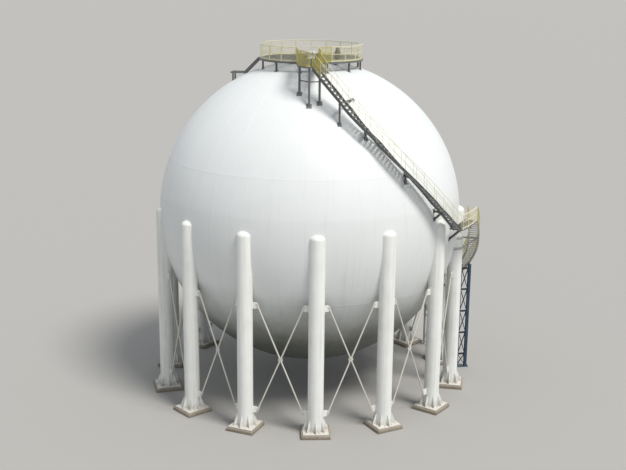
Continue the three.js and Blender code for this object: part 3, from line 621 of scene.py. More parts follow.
cap = [(column_radius * math.cos(math.pi / 16 * i), shoulder + cap_height * math.sin(math.pi / 16 * i))
       for i in range(9)]
column = lathe([(0, base_top), (column_radius, base_top), *cap], column_sides)
ball_behind = Vector((0, column_ring, ball_level))
less_ball(column, ball_behind, ball_radius - 0.004)
saddle = saddle_line()
places = []
for behind, spot, ahead in zip(saddle[-1:] + saddle, saddle, saddle[1:] + saddle[:1]):
    along = (ahead - behind).normalized()
    across = along.cross(spot - ball_behind).normalized()
    places.append(placed(spot, across, across.cross(along), along))
swept(column, round_section(saddle_weld, 6), [*places, places[0]], closed=True)
for height, reach in hoops:
    swept(column, [(-0.01, -0.02), (0.006, -0.01), (0.006, 0.01), (-0.01, 0.02)],
          hoop_places(column_radius, height, -reach, reach, round(reach / 3.75)), closed=reach == 180)
welded(column, eased_block((base_side, base_side, base_top - plinth_height),
                           (0, 0, (base_top + plinth_height) / 2), 0.008))
gusset_top = base_top + gusset_height
gusset = [(column_inside, base_top), (gusset_foot, base_top), (gusset_foot, base_top + gusset_toe),
          (column_radius + 0.06, gusset_top), (column_inside, gusset_top)]
welded(column, plate(gusset, gusset_thickness, 0.004), round_places(gusset_count))
hex_bolts(column, round_places(gusset_count, anchor_ring, base_top, 0.5), 0.045, 0.13)
half = tab_height / 2
tab = [(column_inside, -half), (tab_reach - tab_corner, -half), (tab_reach, tab_corner - half),
       (tab_reach, half - tab_corner), (tab_reach - tab_corner, half), (column_inside, half)]
tab_places = [shift(0, 0, height) @ turned(lean) for lean in (bay / 2, 180 - bay / 2)
              for height in tab_heights]
welded(column, plate(tab, tab_thickness, 0.004), tab_places)
pad = bmesh.new()
swept(pad, strip(*tab_pad), hoop_places(column_radius, 0, 66, 114, 8))
welded(column, pad, tab_places)
welded(column, eased_block((0.08, 0.09, 0.012), (0, -column_radius - 0.04, earth_boss), 0.003, 1))
hex_bolts(column, [shift(0, -column_radius - 0.05, earth_boss + 0.006)], 0.014, 0.03)

plinth_top = plinth_height - grout
plinth = eased_block((plinth_side, plinth_side, plinth_top), (0, 0, plinth_top / 2), 0.025)
block(plinth, (base_side + 0.04, base_side + 0.04, grout), (0, 0, plinth_height - grout / 2))
stands = [turned(i * bay) @ shift(0, -column_ring, 0) for i in range(column_count)]
for i, stand in enumerate(stands):
    whole = bmesh.new()
    welded(whole, column.copy(), [stand])
    node = f"column_{i + 1:02d}"
    finished(whole, node + "_dressed", "column_paint", [column_coat], node)
column.free()
plinths = bmesh.new()
welded(plinths, plinth, stands)
finished(plinths, "column_plinths", "concrete", [cast_concrete])

# Braces
# A crossed pair of slender steel tubes in each bay. Their forked ends are bolted over the
# columns' tabs, and one tube runs through at the crossing while the other is cut and
# welded to a round plate there. Painted off-white with the columns.
brace_radius = 0.058
fork_length = 0.42
fork_height = 0.17
fork_cheek = 0.018
fork_gap = 0.002
crossing_radius = 0.20
crossing_thickness = 0.024
brace_tint = (0.62, 0.61, 0.55, 1)
brace_reach = column_ring * math.sin(math.radians(bay / 2)) - tab_reach
brace_rise = tab_heights[0] - tab_heights[1]
brace_level = sum(tab_heights) / 2
brace_length = math.hypot(brace_rise, 2 * brace_reach)
brace_lean = math.degrees(math.atan2(brace_rise, 2 * brace_reach))


def tie(start):
    """One tube along X about the crossing, that starts at a distance from it on both sides"""
    half = bmesh.new()
    arm = bmesh.new()
    end = brace_length / 2 - 0.06
    neck = end - 0.10
    drum(arm, brace_radius, start, neck, 20)
    drum(arm, brace_radius, neck, end, 20, brace_radius * 0.62)
    for low, high in ((neck - 0.025, neck), (start + 0.01, start + 0.03)):
        drum(arm, brace_radius * 1.12, low, high, 20)
    welded(half, arm, [turned(90, "Y")])
    far = brace_length / 2 + 0.17
    near = far - fork_length
    upper = [(near, fork_height * 0.36), (near + 0.12, fork_height / 2), (far - 0.04, fork_height / 2),
             (far, fork_height / 4)]
    cheek = [(x, -z) for x, z in upper] + upper[::-1]
    for face in (-1, 1):
        inside = tab_thickness / 2 + fork_gap
        welded(half, plate(cheek, fork_cheek, 0.003), [shift(0, face * (inside + fork_cheek / 2), 0)])
        hex_bolts(half, [shift(along, face * (inside + fork_cheek), 0) @ turned(-face * 90, "X")
                         for along in (far - 0.09, far - 0.19)], 0.026, 0.05)
    bm = bmesh.new()
    welded(bm, half, [Matrix.Identity(4), turned(180)])
    return bm


brace_coat = coat_finish("brace paint", brace_tint, 1.6, 60.0, 0.55)
pair = bmesh.new()
for lean, start in ((-brace_lean, 0), (brace_lean, crossing_radius * 0.45)):
    welded(pair, tie(start), [turned(lean, "Y")])
disc = bmesh.new()
drum(disc, crossing_radius, -crossing_thickness / 2, crossing_thickness / 2, 8)
welded(pair, eased(disc, 0.003, 1), [turned(90, "X") @ turned(22.5)])
for i in range(column_count):
    whole = bmesh.new()
    welded(whole, pair.copy(), [turned((i + 0.5) * bay)
                                @ shift(0, -column_ring * math.cos(math.radians(bay / 2)), brace_level)])
    node = f"brace_{i + 1:02d}"
    finished(whole, node + "_dressed", "brace_paint", [brace_coat], node)
pair.free()

# Manways and stubs
# Short welded necks with bolted flanges: a manway on top that a person climbs in by, one below,
# and two pipe stubs beside the lower one. Each neck stands on a round strengthening pad.
# The upper cover hangs on a swinging arm, and the stubs are open for the pipes to bolt on.
neck_radius = 0.30
neck_pad_radius = 0.56
cover_radius = 0.43
cover_bolts = 20
cover_bolt_ring = 0.375
top_flange = ball_level + 13.05
bottom_flange = 1.75
flange_half = 0.07
cover_lip = 0.035
hinge_place = -0.47
arm_level = top_flange + 0.46
grip_radius = 0.009
stub_offset = 1.5
stub_radius = 0.15
stub_flange_radius = 0.24
stub_bolt_ring = 0.207
stub_level = 1.85


def wires(bm, pairs, radius, sides=3):
    """Thin straight rods between pairs of points"""
    rod = bmesh.new()
    drum(rod, 1, -0.5, 0.5, sides)
    places = []
    for start, end in pairs:
        along = end - start
        turn = along.to_track_quat("Z", "Y").to_matrix().to_4x4()
        size = Matrix.Diagonal((radius, radius, along.length, 1))
        places.append(Matrix.Translation((start + end) / 2) @ turn @ size)
    welded(bm, rod, places)


def neck_pad(bm, radius, x=0.0, up=1):
    """The round strengthening plate on the shell about a neck"""
    part = bmesh.new()
    rims = []
    for reach, lift in ((radius, 0.002), (radius - 0.03, 0.026)):
        rim = []
        for i in range(32):
            spot = polar(90 + 360 * i / 32, reach, 0) + Vector((x, 0, 0))
            spot.z = ball_level + up * (ball_rise(spot.length) + lift)
            rim.append(part.verts.new(spot))
        rims.append([part.edges.new((rim[i - 1], rim[i])) for i in range(32)])
    bmesh.ops.bridge_loops(part, edges=[*rims[0], *rims[1]])
    for rim in rims:
        bmesh.ops.contextual_create(part, geom=rim)
    welded(bm, part)


def bolted_pair(bm, low, high):
    """Two flange rims with a gasket line between and bolts right through"""
    middle = (low + high) / 2
    for start, end in ((low, middle - 0.004), (middle + 0.004, high)):
        rim = bmesh.new()
        drum(rim, cover_radius, start, end, 40)
        welded(bm, eased(rim, 0.005))
    drum(bm, cover_radius * 0.86, middle - 0.006, middle + 0.006, 32)
    for level, tilt in ((high, 0), (low, 180)):
        places = round_places(cover_bolts, cover_bolt_ring, level)
        hex_bolts(bm, [place @ turned(tilt, "X") for place in places], 0.02, 0.035)


top_manway = bmesh.new()
drum(top_manway, neck_radius, ball_level + ball_radius - 0.02, top_flange, 36)
bolted_pair(top_manway, top_flange - flange_half, top_flange + flange_half - cover_lip)
grip = [Vector((x, -0.12, top_flange + z)) for x, z in ((-0.1, 0.03), (-0.1, 0.065), (0.1, 0.065),
                                                        (0.1, 0.03))]
for start, end in zip(grip, grip[1:]):
    past = (end - start).normalized() * 0.008
    wires(top_manway, [(start - past, end + past)], grip_radius, 8)
drum(top_manway, 0.028, top_flange - 0.28, arm_level + 0.04, 12, at=(hinge_place, 0))
block(top_manway, (0.16, 0.05, 0.05), (hinge_place + 0.06, 0, top_flange - 0.2))
block(top_manway, (0.53, 0.035, 0.035), (hinge_place + 0.245, 0, arm_level))
drum(top_manway, 0.012, top_flange + 0.035, arm_level, 8)
neck_pad(top_manway, neck_pad_radius)
finished(top_manway, "top_manway", "ball_paint", [ball_paint])

lower_works = bmesh.new()
drum(lower_works, neck_radius, bottom_flange, ball_level - ball_radius + 0.02, 36)
bolted_pair(lower_works, bottom_flange - flange_half + cover_lip, bottom_flange + flange_half)
neck_pad(lower_works, neck_pad_radius, up=-1)
meets = ball_level - ball_rise(stub_offset)
stub_rim = stub_flange_radius - 0.04
stub_profile = [(stub_radius - 0.012, meets), (stub_radius - 0.012, stub_level - 0.035),
                (stub_rim, stub_level - 0.035), (stub_rim, stub_level - 0.031),
                (stub_flange_radius, stub_level - 0.031), (stub_flange_radius, stub_level + 0.01),
                (stub_radius + 0.03, stub_level + 0.012), (stub_radius, stub_level + 0.05),
                (stub_radius, meets + 0.03)]
stub = lathe(stub_profile, 32)
hex_bolts(stub, [Matrix.Translation(polar(90 + 30 * i, stub_bolt_ring, stub_level + 0.01))
                 for i in range(12)], 0.013, 0.028)
welded(lower_works, stub, [shift(side * stub_offset, 0, 0) for side in (-1, 1)])
for side in (-1, 1):
    neck_pad(lower_works, 0.30, side * stub_offset, -1)
finished(lower_works, "bottom_manway_and_stubs", "ball_paint", [ball_paint])

# Top platform
# A round deck of steel grating over the crown of the ball: a channel rim, ring beams and radial
# beams of rolled sections, on short H-section legs that stand on pads on the shell. All of it is
# painted dark grey in the workshop and bolted together on the ball.
deck_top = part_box("top_platform")[1].z
deck_radius = 4.2
deck_hole = 0.62
deck_legs = 12
leg_ring = deck_radius - 0.16
inner_leg_ring = 2.2
ring_beams = ((deck_hole + 0.05, 0.06, 0.08), (inner_leg_ring, 0.1, 0.1), (leg_ring - 0.02, 0.1, 0.1))
grating_pitch = 0.04
grating_bar = (0.005, 0.032)
cross_pitch = 0.1
cross_bar = (0.006, 0.006)
under = deck_top - grating_bar[1]
frame_tint = (0.125, 0.133, 0.133, 1)
frame_dust = (0.26, 0.255, 0.235, 1)
chip_tint = (0.20, 0.105, 0.055, 1)


def h_section(width, depth, web=0.010, flange=0.012):
    """Outline of an H-section, (across, up)"""
    w, d, t, f = width / 2, depth / 2, web / 2, flange
    right = [(w, -d), (w, -d + f), (t, -d + f), (t, d - f), (w, d - f), (w, d)]
    return right + [(-x, z) for x, z in reversed(right)]


def channel(width, depth, web=0.009, flange=0.011, side=1):
    """Outline of a channel with its web on the left, or on the right where side is -1, (across, up)"""
    w, d = width / 2, depth / 2
    outline = [(-w, -d), (w, -d), (w, -d + flange), (-w + web, -d + flange), (-w + web, d - flange),
               (w, d - flange), (w, d), (-w, d)]
    return [(side * x, z) for x, z in outline]


def angle_section(width, depth, thick=0.008):
    """Outline of an angle with its corner at the upper left, (across, up)"""
    w, d = width / 2, depth / 2
    return [(-w, d), (-w, -d), (-w + thick, -d), (-w + thick, d - thick), (w, d - thick), (w, d)]


def member(bm, start, end, outline):
    """A straight rolled section from one point to another: X level across it, Z along it"""
    start, end = Vector(start), Vector(end)
    along = (end - start).normalized()
    across = along.cross(upward)
    across = across.normalized() if across.length > same_spot else Vector((1, 0, 0))
    swept(bm, outline, [placed(spot, across, along.cross(across), along) for spot in (start, end)])


def stood(bm, outline, spot, low, high, turn=Matrix.Identity(4)):
    """An upright section at a spot, between two heights"""
    swept(bm, outline, [turn @ shift(*spot, level) for level in (low, high)])


def radial(azimuth, near, far, level):
    """Two points of a line that heads out from the tank's axis"""
    return [polar(azimuth, near, level), polar(azimuth, far, level)]


def azimuth_of(spot):
    return math.degrees(math.atan2(spot.x, -spot.y))


def shell_pad(bm, foot, width, depth):
    """A doubler plate on the shell, at the azimuth and height of what stands there"""
    spot = on_ball(azimuth_of(foot), math.degrees(math.asin((foot.z - ball_level) / ball_radius)))
    out = (spot - upward * ball_level).normalized()
    side = upward.cross(out).normalized()
    welded(bm, eased_block((width, depth, 0.05), (0, 0, -0.007), 0.006),
           [placed(spot, side, out.cross(side), out)])


def grated(bm, chords, level, bar=grating_bar, turn=0):
    """Bars under a walking level; each chord is (line, start, end), with its bar along X"""
    part = bmesh.new()
    block(part, (1, *bar), (0, 0, 0))
    welded(bm, part, [turned(turn) @ shift((start + end) / 2, line, level - bar[1] / 2)
                      @ Matrix.Diagonal((end - start, 1, 1, 1)) for line, start, end in chords])


def ring_chords(outer, inner, pitch):
    """Chords of a ring-shaped floor at even lines"""
    chords = []
    count = math.floor(outer / pitch)
    for i in range(-count, count + 1):
        line = i * pitch
        far = math.sqrt(outer ** 2 - line ** 2)
        if far < 0.05:
            continue
        if abs(line) < inner:
            near = math.sqrt(inner ** 2 - line ** 2)
            chords += [(line, -far, -near), (line, near, far)]
        else:
            chords.append((line, -far, far))
    return chords


# Rust that shows where paint has chipped away, in small ragged spots
chips, given, mask = effect("paint chips", Scale=9.0, Amount=0.25)
patches = noise(chips, given["Vector"], given["Scale"], 6.0, 0.7)
edge = sum_of(chips, "SUBTRACT", 0.78, sum_of(chips, "MULTIPLY", given["Amount"], 0.3))
chips.links.new(between(chips, sum_of(chips, "SUBTRACT", patches, edge), 0.0, 0.03), mask)


def steel_finish(name, tint, dust_tint, amount, gloss, settled):
    """Painted steelwork: dust on what faces up, rain streaks, and rust in the chips"""
    material, tree, place = finish(name)
    facing = add(tree, "SeparateXYZ", {0: add(tree, "NewGeometry").outputs["Normal"]}).outputs["Z"]
    clouds = used(tree, weathering, Vector=place, Scale=1.9)
    runs = used(tree, streaks, Vector=place, Across=14.0, Down=0.9, Start=0.55)
    worn = used(tree, chips, Vector=place, Scale=8.0, Amount=amount)
    dust = between(tree, facing, 0.55, 0.95, 0.0, settled)
    dusty = weighed(tree, (dust, 1.0), (clouds, 0.25), (runs, 0.25))
    colour = blend(tree, worn, blend(tree, dusty, tint, dust_tint), chip_tint)
    rough = sum_of(tree, "MULTIPLY_ADD", dusty, 0.3, gloss)
    rough = sum_of(tree, "MAXIMUM", rough, sum_of(tree, "MULTIPLY", worn, 0.85))
    height = weighed(tree, (noise(tree, place, 70.0, 2.0), 1.0), (worn, -0.8))
    surfaced(tree, colour, rough, height, 0.3, 0.003)
    return material


dark_steel = steel_finish("dark grey steelwork", frame_tint, frame_dust, 0.25, 0.42, 0.5)
deck = bmesh.new()
swept(deck, channel(0.07, 0.15), [place @ turned(180, "Y") for place in
                                  hoop_places(deck_radius - 0.035, deck_top - 0.075)], closed=True)
for radius, width, depth in ring_beams:
    swept(deck, h_section(width, depth), hoop_places(radius, under - 0.005 - depth / 2), closed=True)
for i in range(deck_legs):
    azimuth = (i + 0.5) * 360 / deck_legs
    member(deck, *radial(azimuth, 0.72, leg_ring, under - 0.05), h_section(0.09, 0.09))
    for radius, size in ((leg_ring, 0.12), (inner_leg_ring, 0.1))[:1 if i % 2 else 2]:
        foot = ball_level + ball_rise(radius)
        stood(deck, h_section(size, size), (0, -radius), foot - 0.02, under - 0.1, turned(azimuth))
        block(deck, (size + 0.05, size + 0.05, 0.012), polar(azimuth, radius, under - 0.106))
        shell_pad(deck, polar(azimuth, radius, foot), 0.30, 0.30)
grated(deck, ring_chords(deck_radius - 0.075, deck_hole + 0.03, grating_pitch), deck_top)
grated(deck, ring_chords(deck_radius - 0.075, deck_hole + 0.03, cross_pitch), deck_top - 0.002, cross_bar, 90)
swept(deck, strip(0, -0.035, 0.006, 0.045), hoop_places(deck_hole, deck_top - 0.045), closed=True)
finished(deck, "platform_dressed", "stair_paint", [dark_steel], "top_platform")

# Front landing
# The bay of grating in front of the platform where the stair starts. Its channel frame
# hangs on the platform's rim and stands on three long posts on the shell.
front_outline = [(-1.35, -3.9), (-1.35, -6.9), (-0.76, -8.05), (0.45, -7.9), (0.45, -3.9)]
front_posts = [(-1.18, -6.67), (-0.5, -7.82), (0.29, -7.6)]
front_frame = 0.12


def chords_of(outline, inset=0.06):
    """Even lines across an outline of (x, y) points, kept clear of its edge"""
    chords = []
    line = math.ceil(min(y for x, y in outline) / grating_pitch) * grating_pitch
    while line < max(y for x, y in outline):
        meets = []
        for (x0, y0), (x1, y1) in zip(outline, outline[1:] + outline[:1]):
            if (y0 - line) * (y1 - line) < 0:
                meets.append(x0 + (x1 - x0) * (line - y0) / (y1 - y0))
        meets.sort()
        for start, end in zip(meets[::2], meets[1::2]):
            if end - start - 2 * inset > 0.05:
                chords.append((line, start + inset, end - inset))
        line += grating_pitch
    return chords


def framed(bm, outline, level, depth, width=0.06):
    """Channels along the edges of a floor, with their backs outwards"""
    for (x0, y0), (x1, y1) in zip(outline, outline[1:] + outline[:1]):
        start, end = Vector((x0, y0, level - depth / 2)), Vector((x1, y1, level - depth / 2))
        way = (end - start).normalized()
        inward = Vector((-way.y, way.x, 0)) * width / 2
        member(bm, start + inward, end + inward, channel(width, depth, side=-1))


front = bmesh.new()
framed(front, front_outline, deck_top, front_frame)
beyond_deck = -math.sqrt(deck_radius ** 2 - 0.9 ** 2)
grated(front, [chord for chord in chords_of(front_outline) if chord[0] < beyond_deck], deck_top)
for x in (-1.05, -0.75, -0.45, -0.15, 0.15):
    near = -math.sqrt(deck_radius ** 2 - x * x) + 0.01
    far = -7.4 if x < -0.8 else -7.9
    member(front, (x, near, under - 0.03), (x, far, under - 0.03), h_section(0.05, 0.06, 0.006, 0.007))
for y in (-5.0, -5.9, -6.8):
    member(front, (-1.3, y, under - 0.04), (0.4, y, under - 0.04), h_section(0.07, 0.08))
for x, y in front_posts:
    foot = ball_level + ball_rise(math.hypot(x, y))
    turn = shift(x, y, 0) @ turned(azimuth_of(Vector((x, y))))
    top = deck_top - front_frame
    stood(front, h_section(0.16, 0.16), (0, 0), foot - 0.03, top, turn)
    for level in (foot + 0.35, top - 0.01):
        block(front, (0.19, 0.19, 0.012), (0, 0, level), turn)
    shell_pad(front, Vector((x, y, foot)), 0.42, 0.46)
for start, end in zip(front_posts, front_posts[1:]):
    tie_level = ball_level + ball_rise(max(math.hypot(*start), math.hypot(*end))) + 1.8
    member(front, (*start, tie_level), (*end, tie_level), angle_section(0.07, 0.07))
finished(front, "front_landing_dressed", "stair_paint", [dark_steel], "front_landing")

# Railings of the platform
# Round steel tube in long bent lengths: handrail, knee rail and toe board on posts bolted to the
# deck's rim, with panels of welded wire mesh between the posts. The yellow paint has bleached
# round the deck; close mesh in fuller yellow guards the front landing, where the stair starts.
rail_height = 1.15
handrail_radius = 0.024
post_radius = 0.020
rail_spacing = 1.3
mesh_low = 0.14
mesh_high = 1.08
mesh_pitch = 0.05
mesh_wire = 0.0026
close_mesh = {"pitch": 0.026, "wire": 0.0034}
rail_ring = deck_radius - 0.09
rail_tint = (0.53, 0.46, 0.09, 1)
rail_faded = (0.70, 0.66, 0.38, 1)
pale_tint = (0.74, 0.70, 0.44, 1)
pale_faded = (0.80, 0.78, 0.62, 1)


def along_line(points, distance):
    """The point at a distance along a line, and the way the line heads there"""
    for start, end in zip(points, points[1:]):
        length = (end - start).length
        if distance <= length or end == points[-1]:
            way = (end - start).normalized()
            return start + way * min(distance, length), way
        distance -= length


def even_spots(line, near, far, number, height):
    """Evenly spaced points between two distances along a line, lifted to a height"""
    stops = [near + (far - near) * i / number for i in range(number + 1)]
    return [along_line(line, stop)[0] + upward * height for stop in stops]


def rounded(points, reach=0.12, steps=4):
    """The line with each sharp corner turned into a short bend"""
    line = [points[0]]
    for before, corner, after in zip(points, points[1:], points[2:]):
        back, ahead = before - corner, after - corner
        if back.angle(ahead) > math.radians(165):
            line.append(corner)
            continue
        start = corner + back.normalized() * min(reach, back.length / 2)
        end = corner + ahead.normalized() * min(reach, ahead.length / 2)
        for i in range(steps + 1):
            share = i / steps
            line.append(start.lerp(corner, share).lerp(corner.lerp(end, share), share))
    line.append(points[-1])
    return line


def line_places(points):
    """Places along a line: X level across it, Y up, Z along it"""
    places = []
    for i, point in enumerate(points):
        back = (point - points[i - 1]).normalized() if i else None
        ahead = (points[i + 1] - point).normalized() if i + 1 < len(points) else None
        along = ((back or ahead) + (ahead or back)).normalized()
        across = along.cross(upward).normalized()
        places.append(placed(point, across, across.cross(along), along))
    return places


def railing(points, toe=0.1, pitch=mesh_pitch, wire=mesh_wire, spacing=rail_spacing, foot=0.0, thick=1.0):
    """A length of railing that follows a line on the floor"""
    bm = bmesh.new()
    line = rounded(points)
    for height, radius in ((rail_height, handrail_radius), (rail_height / 2, handrail_radius * 0.8)):
        swept(bm, round_section(radius * thick, 10), line_places([point + upward * height for point in line]))
    if toe:
        swept(bm, strip(-0.003, 0.012, 0.003, toe), line_places(line))
    length = sum((end - start).length for start, end in zip(line, line[1:]))
    count = max(1, round(length / spacing))
    stops = [0.03 + (length - 0.06) * i / count for i in range(count + 1)]
    post = bmesh.new()
    drum(post, post_radius * thick, foot, rail_height, 10)
    if foot == 0:
        block(post, (0.11, 0.09, 0.008), (0, 0, 0.004))
        hex_bolts(post, [shift(x, 0, 0.008) for x in (-0.04, 0.04)], 0.009, 0.016)
    stands = [along_line(line, stop) for stop in stops]
    welded(bm, post, [Matrix.Translation(spot) @ Matrix.Rotation(math.atan2(way.y, way.x), 4, "Z")
                      for spot, way in stands])
    if not pitch:
        return bm
    rods = []
    for start, end in zip(stops, stops[1:]):
        panel = (line, start + 0.045, end - 0.045)
        for height in (mesh_low, mesh_high):
            swept(bm, strip(-0.004, -0.012, 0.004, 0.012), line_places(even_spots(*panel, 8, height)))
        number = max(2, round((end - start - 0.09) / pitch))
        uprights = list(zip(even_spots(*panel, number, mesh_low), even_spots(*panel, number, mesh_high)))
        wires(bm, [uprights[0], uprights[-1]], 0.009, 4)
        rods += uprights[1:-1]
        rows = round((mesh_high - mesh_low) / pitch)
        for i in range(1, rows):
            cuts = even_spots(*panel, 3, mesh_low + (mesh_high - mesh_low) * i / rows)
            rods += zip(cuts, cuts[1:])
    wires(bm, rods, wire)
    return bm


def arc_line(start, end, radius, level, step=4.0):
    """Points round the tank's axis between two azimuths"""
    steps = max(1, round(abs(end - start) / step))
    return [polar(start + (end - start) * i / steps, radius, level) for i in range(steps + 1)]


rail_yellow = steel_finish("yellow rail paint", rail_tint, rail_faded, 0.12, 0.45, 0.7)
rail_pale = steel_finish("bleached yellow rail paint", pale_tint, pale_faded, 0.12, 0.5, 0.8)
left_turn = arc_line(267, 341.7, rail_ring, deck_top)
right_turn = arc_line(20, 5.5, rail_ring, deck_top)
right_end = Vector((right_turn[-1].x, -7.12, deck_top))
beside_stair = [Vector((x, y, deck_top)) for x, y in ((-1.29, -6.88), (-0.735, -7.98), (-0.44, -7.945))]
for node, round_part, landing_part in (
    ("platform_rail_right", arc_line(90, 20, rail_ring, deck_top), [*right_turn, right_end]),
    ("platform_rail_back", arc_line(104, 251, rail_ring, deck_top), None),
    ("platform_rail_left", left_turn, [left_turn[-1], *beside_stair]),
):
    rail = railing(landing_part, spacing=1.0, **close_mesh) if landing_part else bmesh.new()
    welded(rail, railing(round_part), material=1)
    finished(rail, node + "_dressed", "yellow_paint", [rail_yellow, rail_pale], node)

# Upper flight
# The winding stair from the front landing down to the equator. Two channel stringers are rolled
# to the curve, and chequer-plate treads, each with a low kick edge at its back, are bolted between
# them. Brackets of H-section with short struts carry them from pads on the shell. Mesh guards the
# head of the flight on both sides, and a light tube rail in bleached paint runs on from there.
riser = 0.25
stair_half = 0.40
stringer_depth = 0.30
stringer_top = 0.06
stringer_width = 0.06
tread_depth = 0.23
tread_nose = 0.05
tread_thickness = 0.04
kick_height = 0.07
equator_level = ball_level + 0.35
upper_azimuth = -0.5
upper_radius = 7.6
upper_join = ball_level + 10
upper_slope = 1.015
upper_offsets = ((0.35, 1.28), (1.5, 0.98), (2.5, 0.78), (4.0, 0.70), (7.5, 0.64), (10.0, 1.14))
upper_brackets = ((11.4, -0.20), (20, 0.40), (33.4, 0.45), (45.8, 0))
bracket_drop = 0.30
bracket_width = 0.11
bracket_depth = 0.13
strut_drop = 0.65
upright_within = 12.0
fine_steps = 9
head_stations = 3


def beside_ball(level):
    """How far from the axis the upper flight's middle line runs where it follows the ball"""
    up = level - ball_level
    for (low, near), (high, far) in zip(upper_offsets, upper_offsets[1:]):
        if up <= high:
            gap = near + (far - near) * max(0, (up - low) / (high - low))
            return math.sqrt((ball_radius + gap) ** 2 - up ** 2)
    return math.sqrt((ball_radius + far) ** 2 - up ** 2)


def upper_line(level):
    """The same for any height; the head passes evenly from the landing to the ball's side"""
    if level <= upper_join:
        return beside_ball(level)
    share = (deck_top - level) / (deck_top - upper_join)
    return upper_radius + (beside_ball(upper_join) - upper_radius) * share


def winding(azimuth, top, bottom, radius_at, slope):
    """Stations of a winding flight, one for each riser, from the top down"""
    risers = round((top - bottom) / riser)
    step = (top - bottom) / risers / fine_steps
    stations = []
    level = top
    for i in range(risers + 1):
        stations.append(polar(azimuth, radius_at(level), level))
        for k in range(fine_steps):
            out = radius_at(level - step) - radius_at(level)
            along = math.sqrt(max((step / slope) ** 2 - out ** 2, 0))
            azimuth += math.degrees(along / radius_at(level))
            level -= step
    return stations


def side_of(stations, index, reach):
    """A point beside the flight's middle line, outwards where the reach is above 0"""
    way = stations[min(index + 1, len(stations) - 1)] - stations[max(index - 1, 0)]
    way.z = 0
    way.normalize()
    return stations[index] + Vector((way.y, -way.x, 0)) * reach, way


def upright(spot, way):
    """A place along a flight whose section stays upright: X across, Y up, Z level along"""
    return placed(spot, Vector((way.y, -way.x, 0)), upward, way)


def tread_part(grating):
    """One tread: plate with a kick edge, or grating of bearing bars and rods, between end plates"""
    bm = bmesh.new()
    back, front = tread_nose - tread_depth, tread_nose
    half = stair_half - 0.034
    block(bm, (2 * half, 0.005, tread_thickness), (0, front - 0.0025, -tread_thickness / 2))
    for side in (-1, 1):
        block(bm, (0.005, tread_depth, 0.07), (side * half, back + tread_depth / 2, -0.035))
    if grating:
        block(bm, (2 * half, 0.03, 0.006), (0, front - 0.015, -0.003))
        for i in range(7):
            block(bm, (2 * half, 0.005, 0.03), (0, back + 0.004 + i * 0.031, -0.017))
        for i in range(5):
            block(bm, (0.006, tread_depth - 0.03, 0.006), (half * (i / 2 - 1) * 0.8, back + 0.1, -0.006))
    else:
        block(bm, (2 * half, tread_depth - 0.002, 0.006), (0, back + tread_depth / 2, -0.003))
        block(bm, (2 * half, 0.005, kick_height), (0, back + 0.0025, kick_height / 2))
    return bm


def flight(stations, top_cut=None, bottom_cut=None, grating=True):
    """Stringers and treads of a flight, cut level where it meets a floor"""
    bm = bmesh.new()
    for side in (-1, 1):
        beam = bmesh.new()
        outline = [(x, z + stringer_top - stringer_depth / 2)
                   for x, z in channel(stringer_width, stringer_depth, 0.009, 0.012, side)]
        swept(beam, outline, [upright(*side_of(stations, i, side * stair_half))
                              for i in range(len(stations))])
        for level, up in ((top_cut, 1), (bottom_cut, -1)):
            if level is not None:
                bmesh.ops.bisect_plane(beam, geom=[*beam.verts, *beam.edges, *beam.faces],
                                       plane_co=(0, 0, level), plane_no=(0, 0, up), clear_outer=True)
                bmesh.ops.holes_fill(beam, edges=[edge for edge in beam.edges if edge.is_boundary])
        welded(bm, beam)
    swap = Matrix(((1, 0, 0, 0), (0, 0, 1, 0), (0, 1, 0, 0), (0, 0, 0, 1)))
    welded(bm, tread_part(grating),
           [upright(*side_of(stations, i, 0)) @ swap for i in range(1, len(stations) - 1)])
    return bm


def flight_rail(stations, side, **style):
    """A rail over one stringer of a flight"""
    return railing([side_of(stations, i, side * stair_half)[0] for i in range(len(stations))],
                   toe=0, foot=-0.05, **style)


def bracket(bm, root, tip, foot, head, strut=0.14):
    """A beam out from the tank and the strut under it"""
    member(bm, root, tip, h_section(bracket_width, bracket_depth))
    member(bm, foot, head - upward * (bracket_depth / 2 - 0.01), h_section(strut, strut))


def nearest(stations, azimuth):
    return min(stations, key=lambda spot: abs(azimuth_of(spot) - azimuth))


def onto_ball(start, way):
    """Where a line from a point beside the ball meets its surface"""
    out = start - upward * ball_level
    along = out.dot(way)
    return start - way * (along + math.sqrt(along ** 2 - out.length_squared + ball_radius ** 2))


upper = winding(upper_azimuth, deck_top, equator_level, upper_line, upper_slope)
upper_flight = flight(upper, deck_top, grating=False)
for azimuth, inset in upper_brackets:
    centre, way = side_of(upper, upper.index(nearest(upper, azimuth)), 0)
    centre.z -= bracket_drop
    inward = Vector((-way.y, way.x, 0))
    root = onto_ball(centre, inward)
    head = centre + inward * inset
    if head.xy.length < upright_within:
        foot = onto_ball(head, -upward)
    else:
        foot = onto_ball(centre - upward * strut_drop, inward)
    bracket(upper_flight, root + inward * 0.02, centre - inward * stair_half, foot, head)
    for spot in (root, foot):
        shell_pad(upper_flight, spot, 0.32, 0.32)
finished(upper_flight, "upper_flight_dressed", "stair_paint", [dark_steel], "upper_stair")
for side, word in ((1, "outer"), (-1, "inner")):
    rail = flight_rail(upper[:head_stations + 1], side, **close_mesh)
    welded(rail, flight_rail(upper[head_stations:], side, pitch=0, thick=0.75), material=1)
    finished(rail, f"upper_{word}_rail_dressed", "yellow_paint", [rail_yellow, rail_pale],
             f"upper_stair_{word}_rail")

# Equator landing
# A sector of grating at the equator where the upper flight ends and the lower one begins. A
# triangular bracket of H-section carries it from pads on the shell, and a railing of bleached
# paint with fine mesh stands along its outer edge.
landing_end = 67.3
landing_reach = (13.13, 14.2)
landing_frame = 0.08
landing_rail = 14.14
landing_bracket = 60.2
landing_drop = 1.35
landing_head = 0.60
landing_strut = 0.18
landing_overlap = 0.6


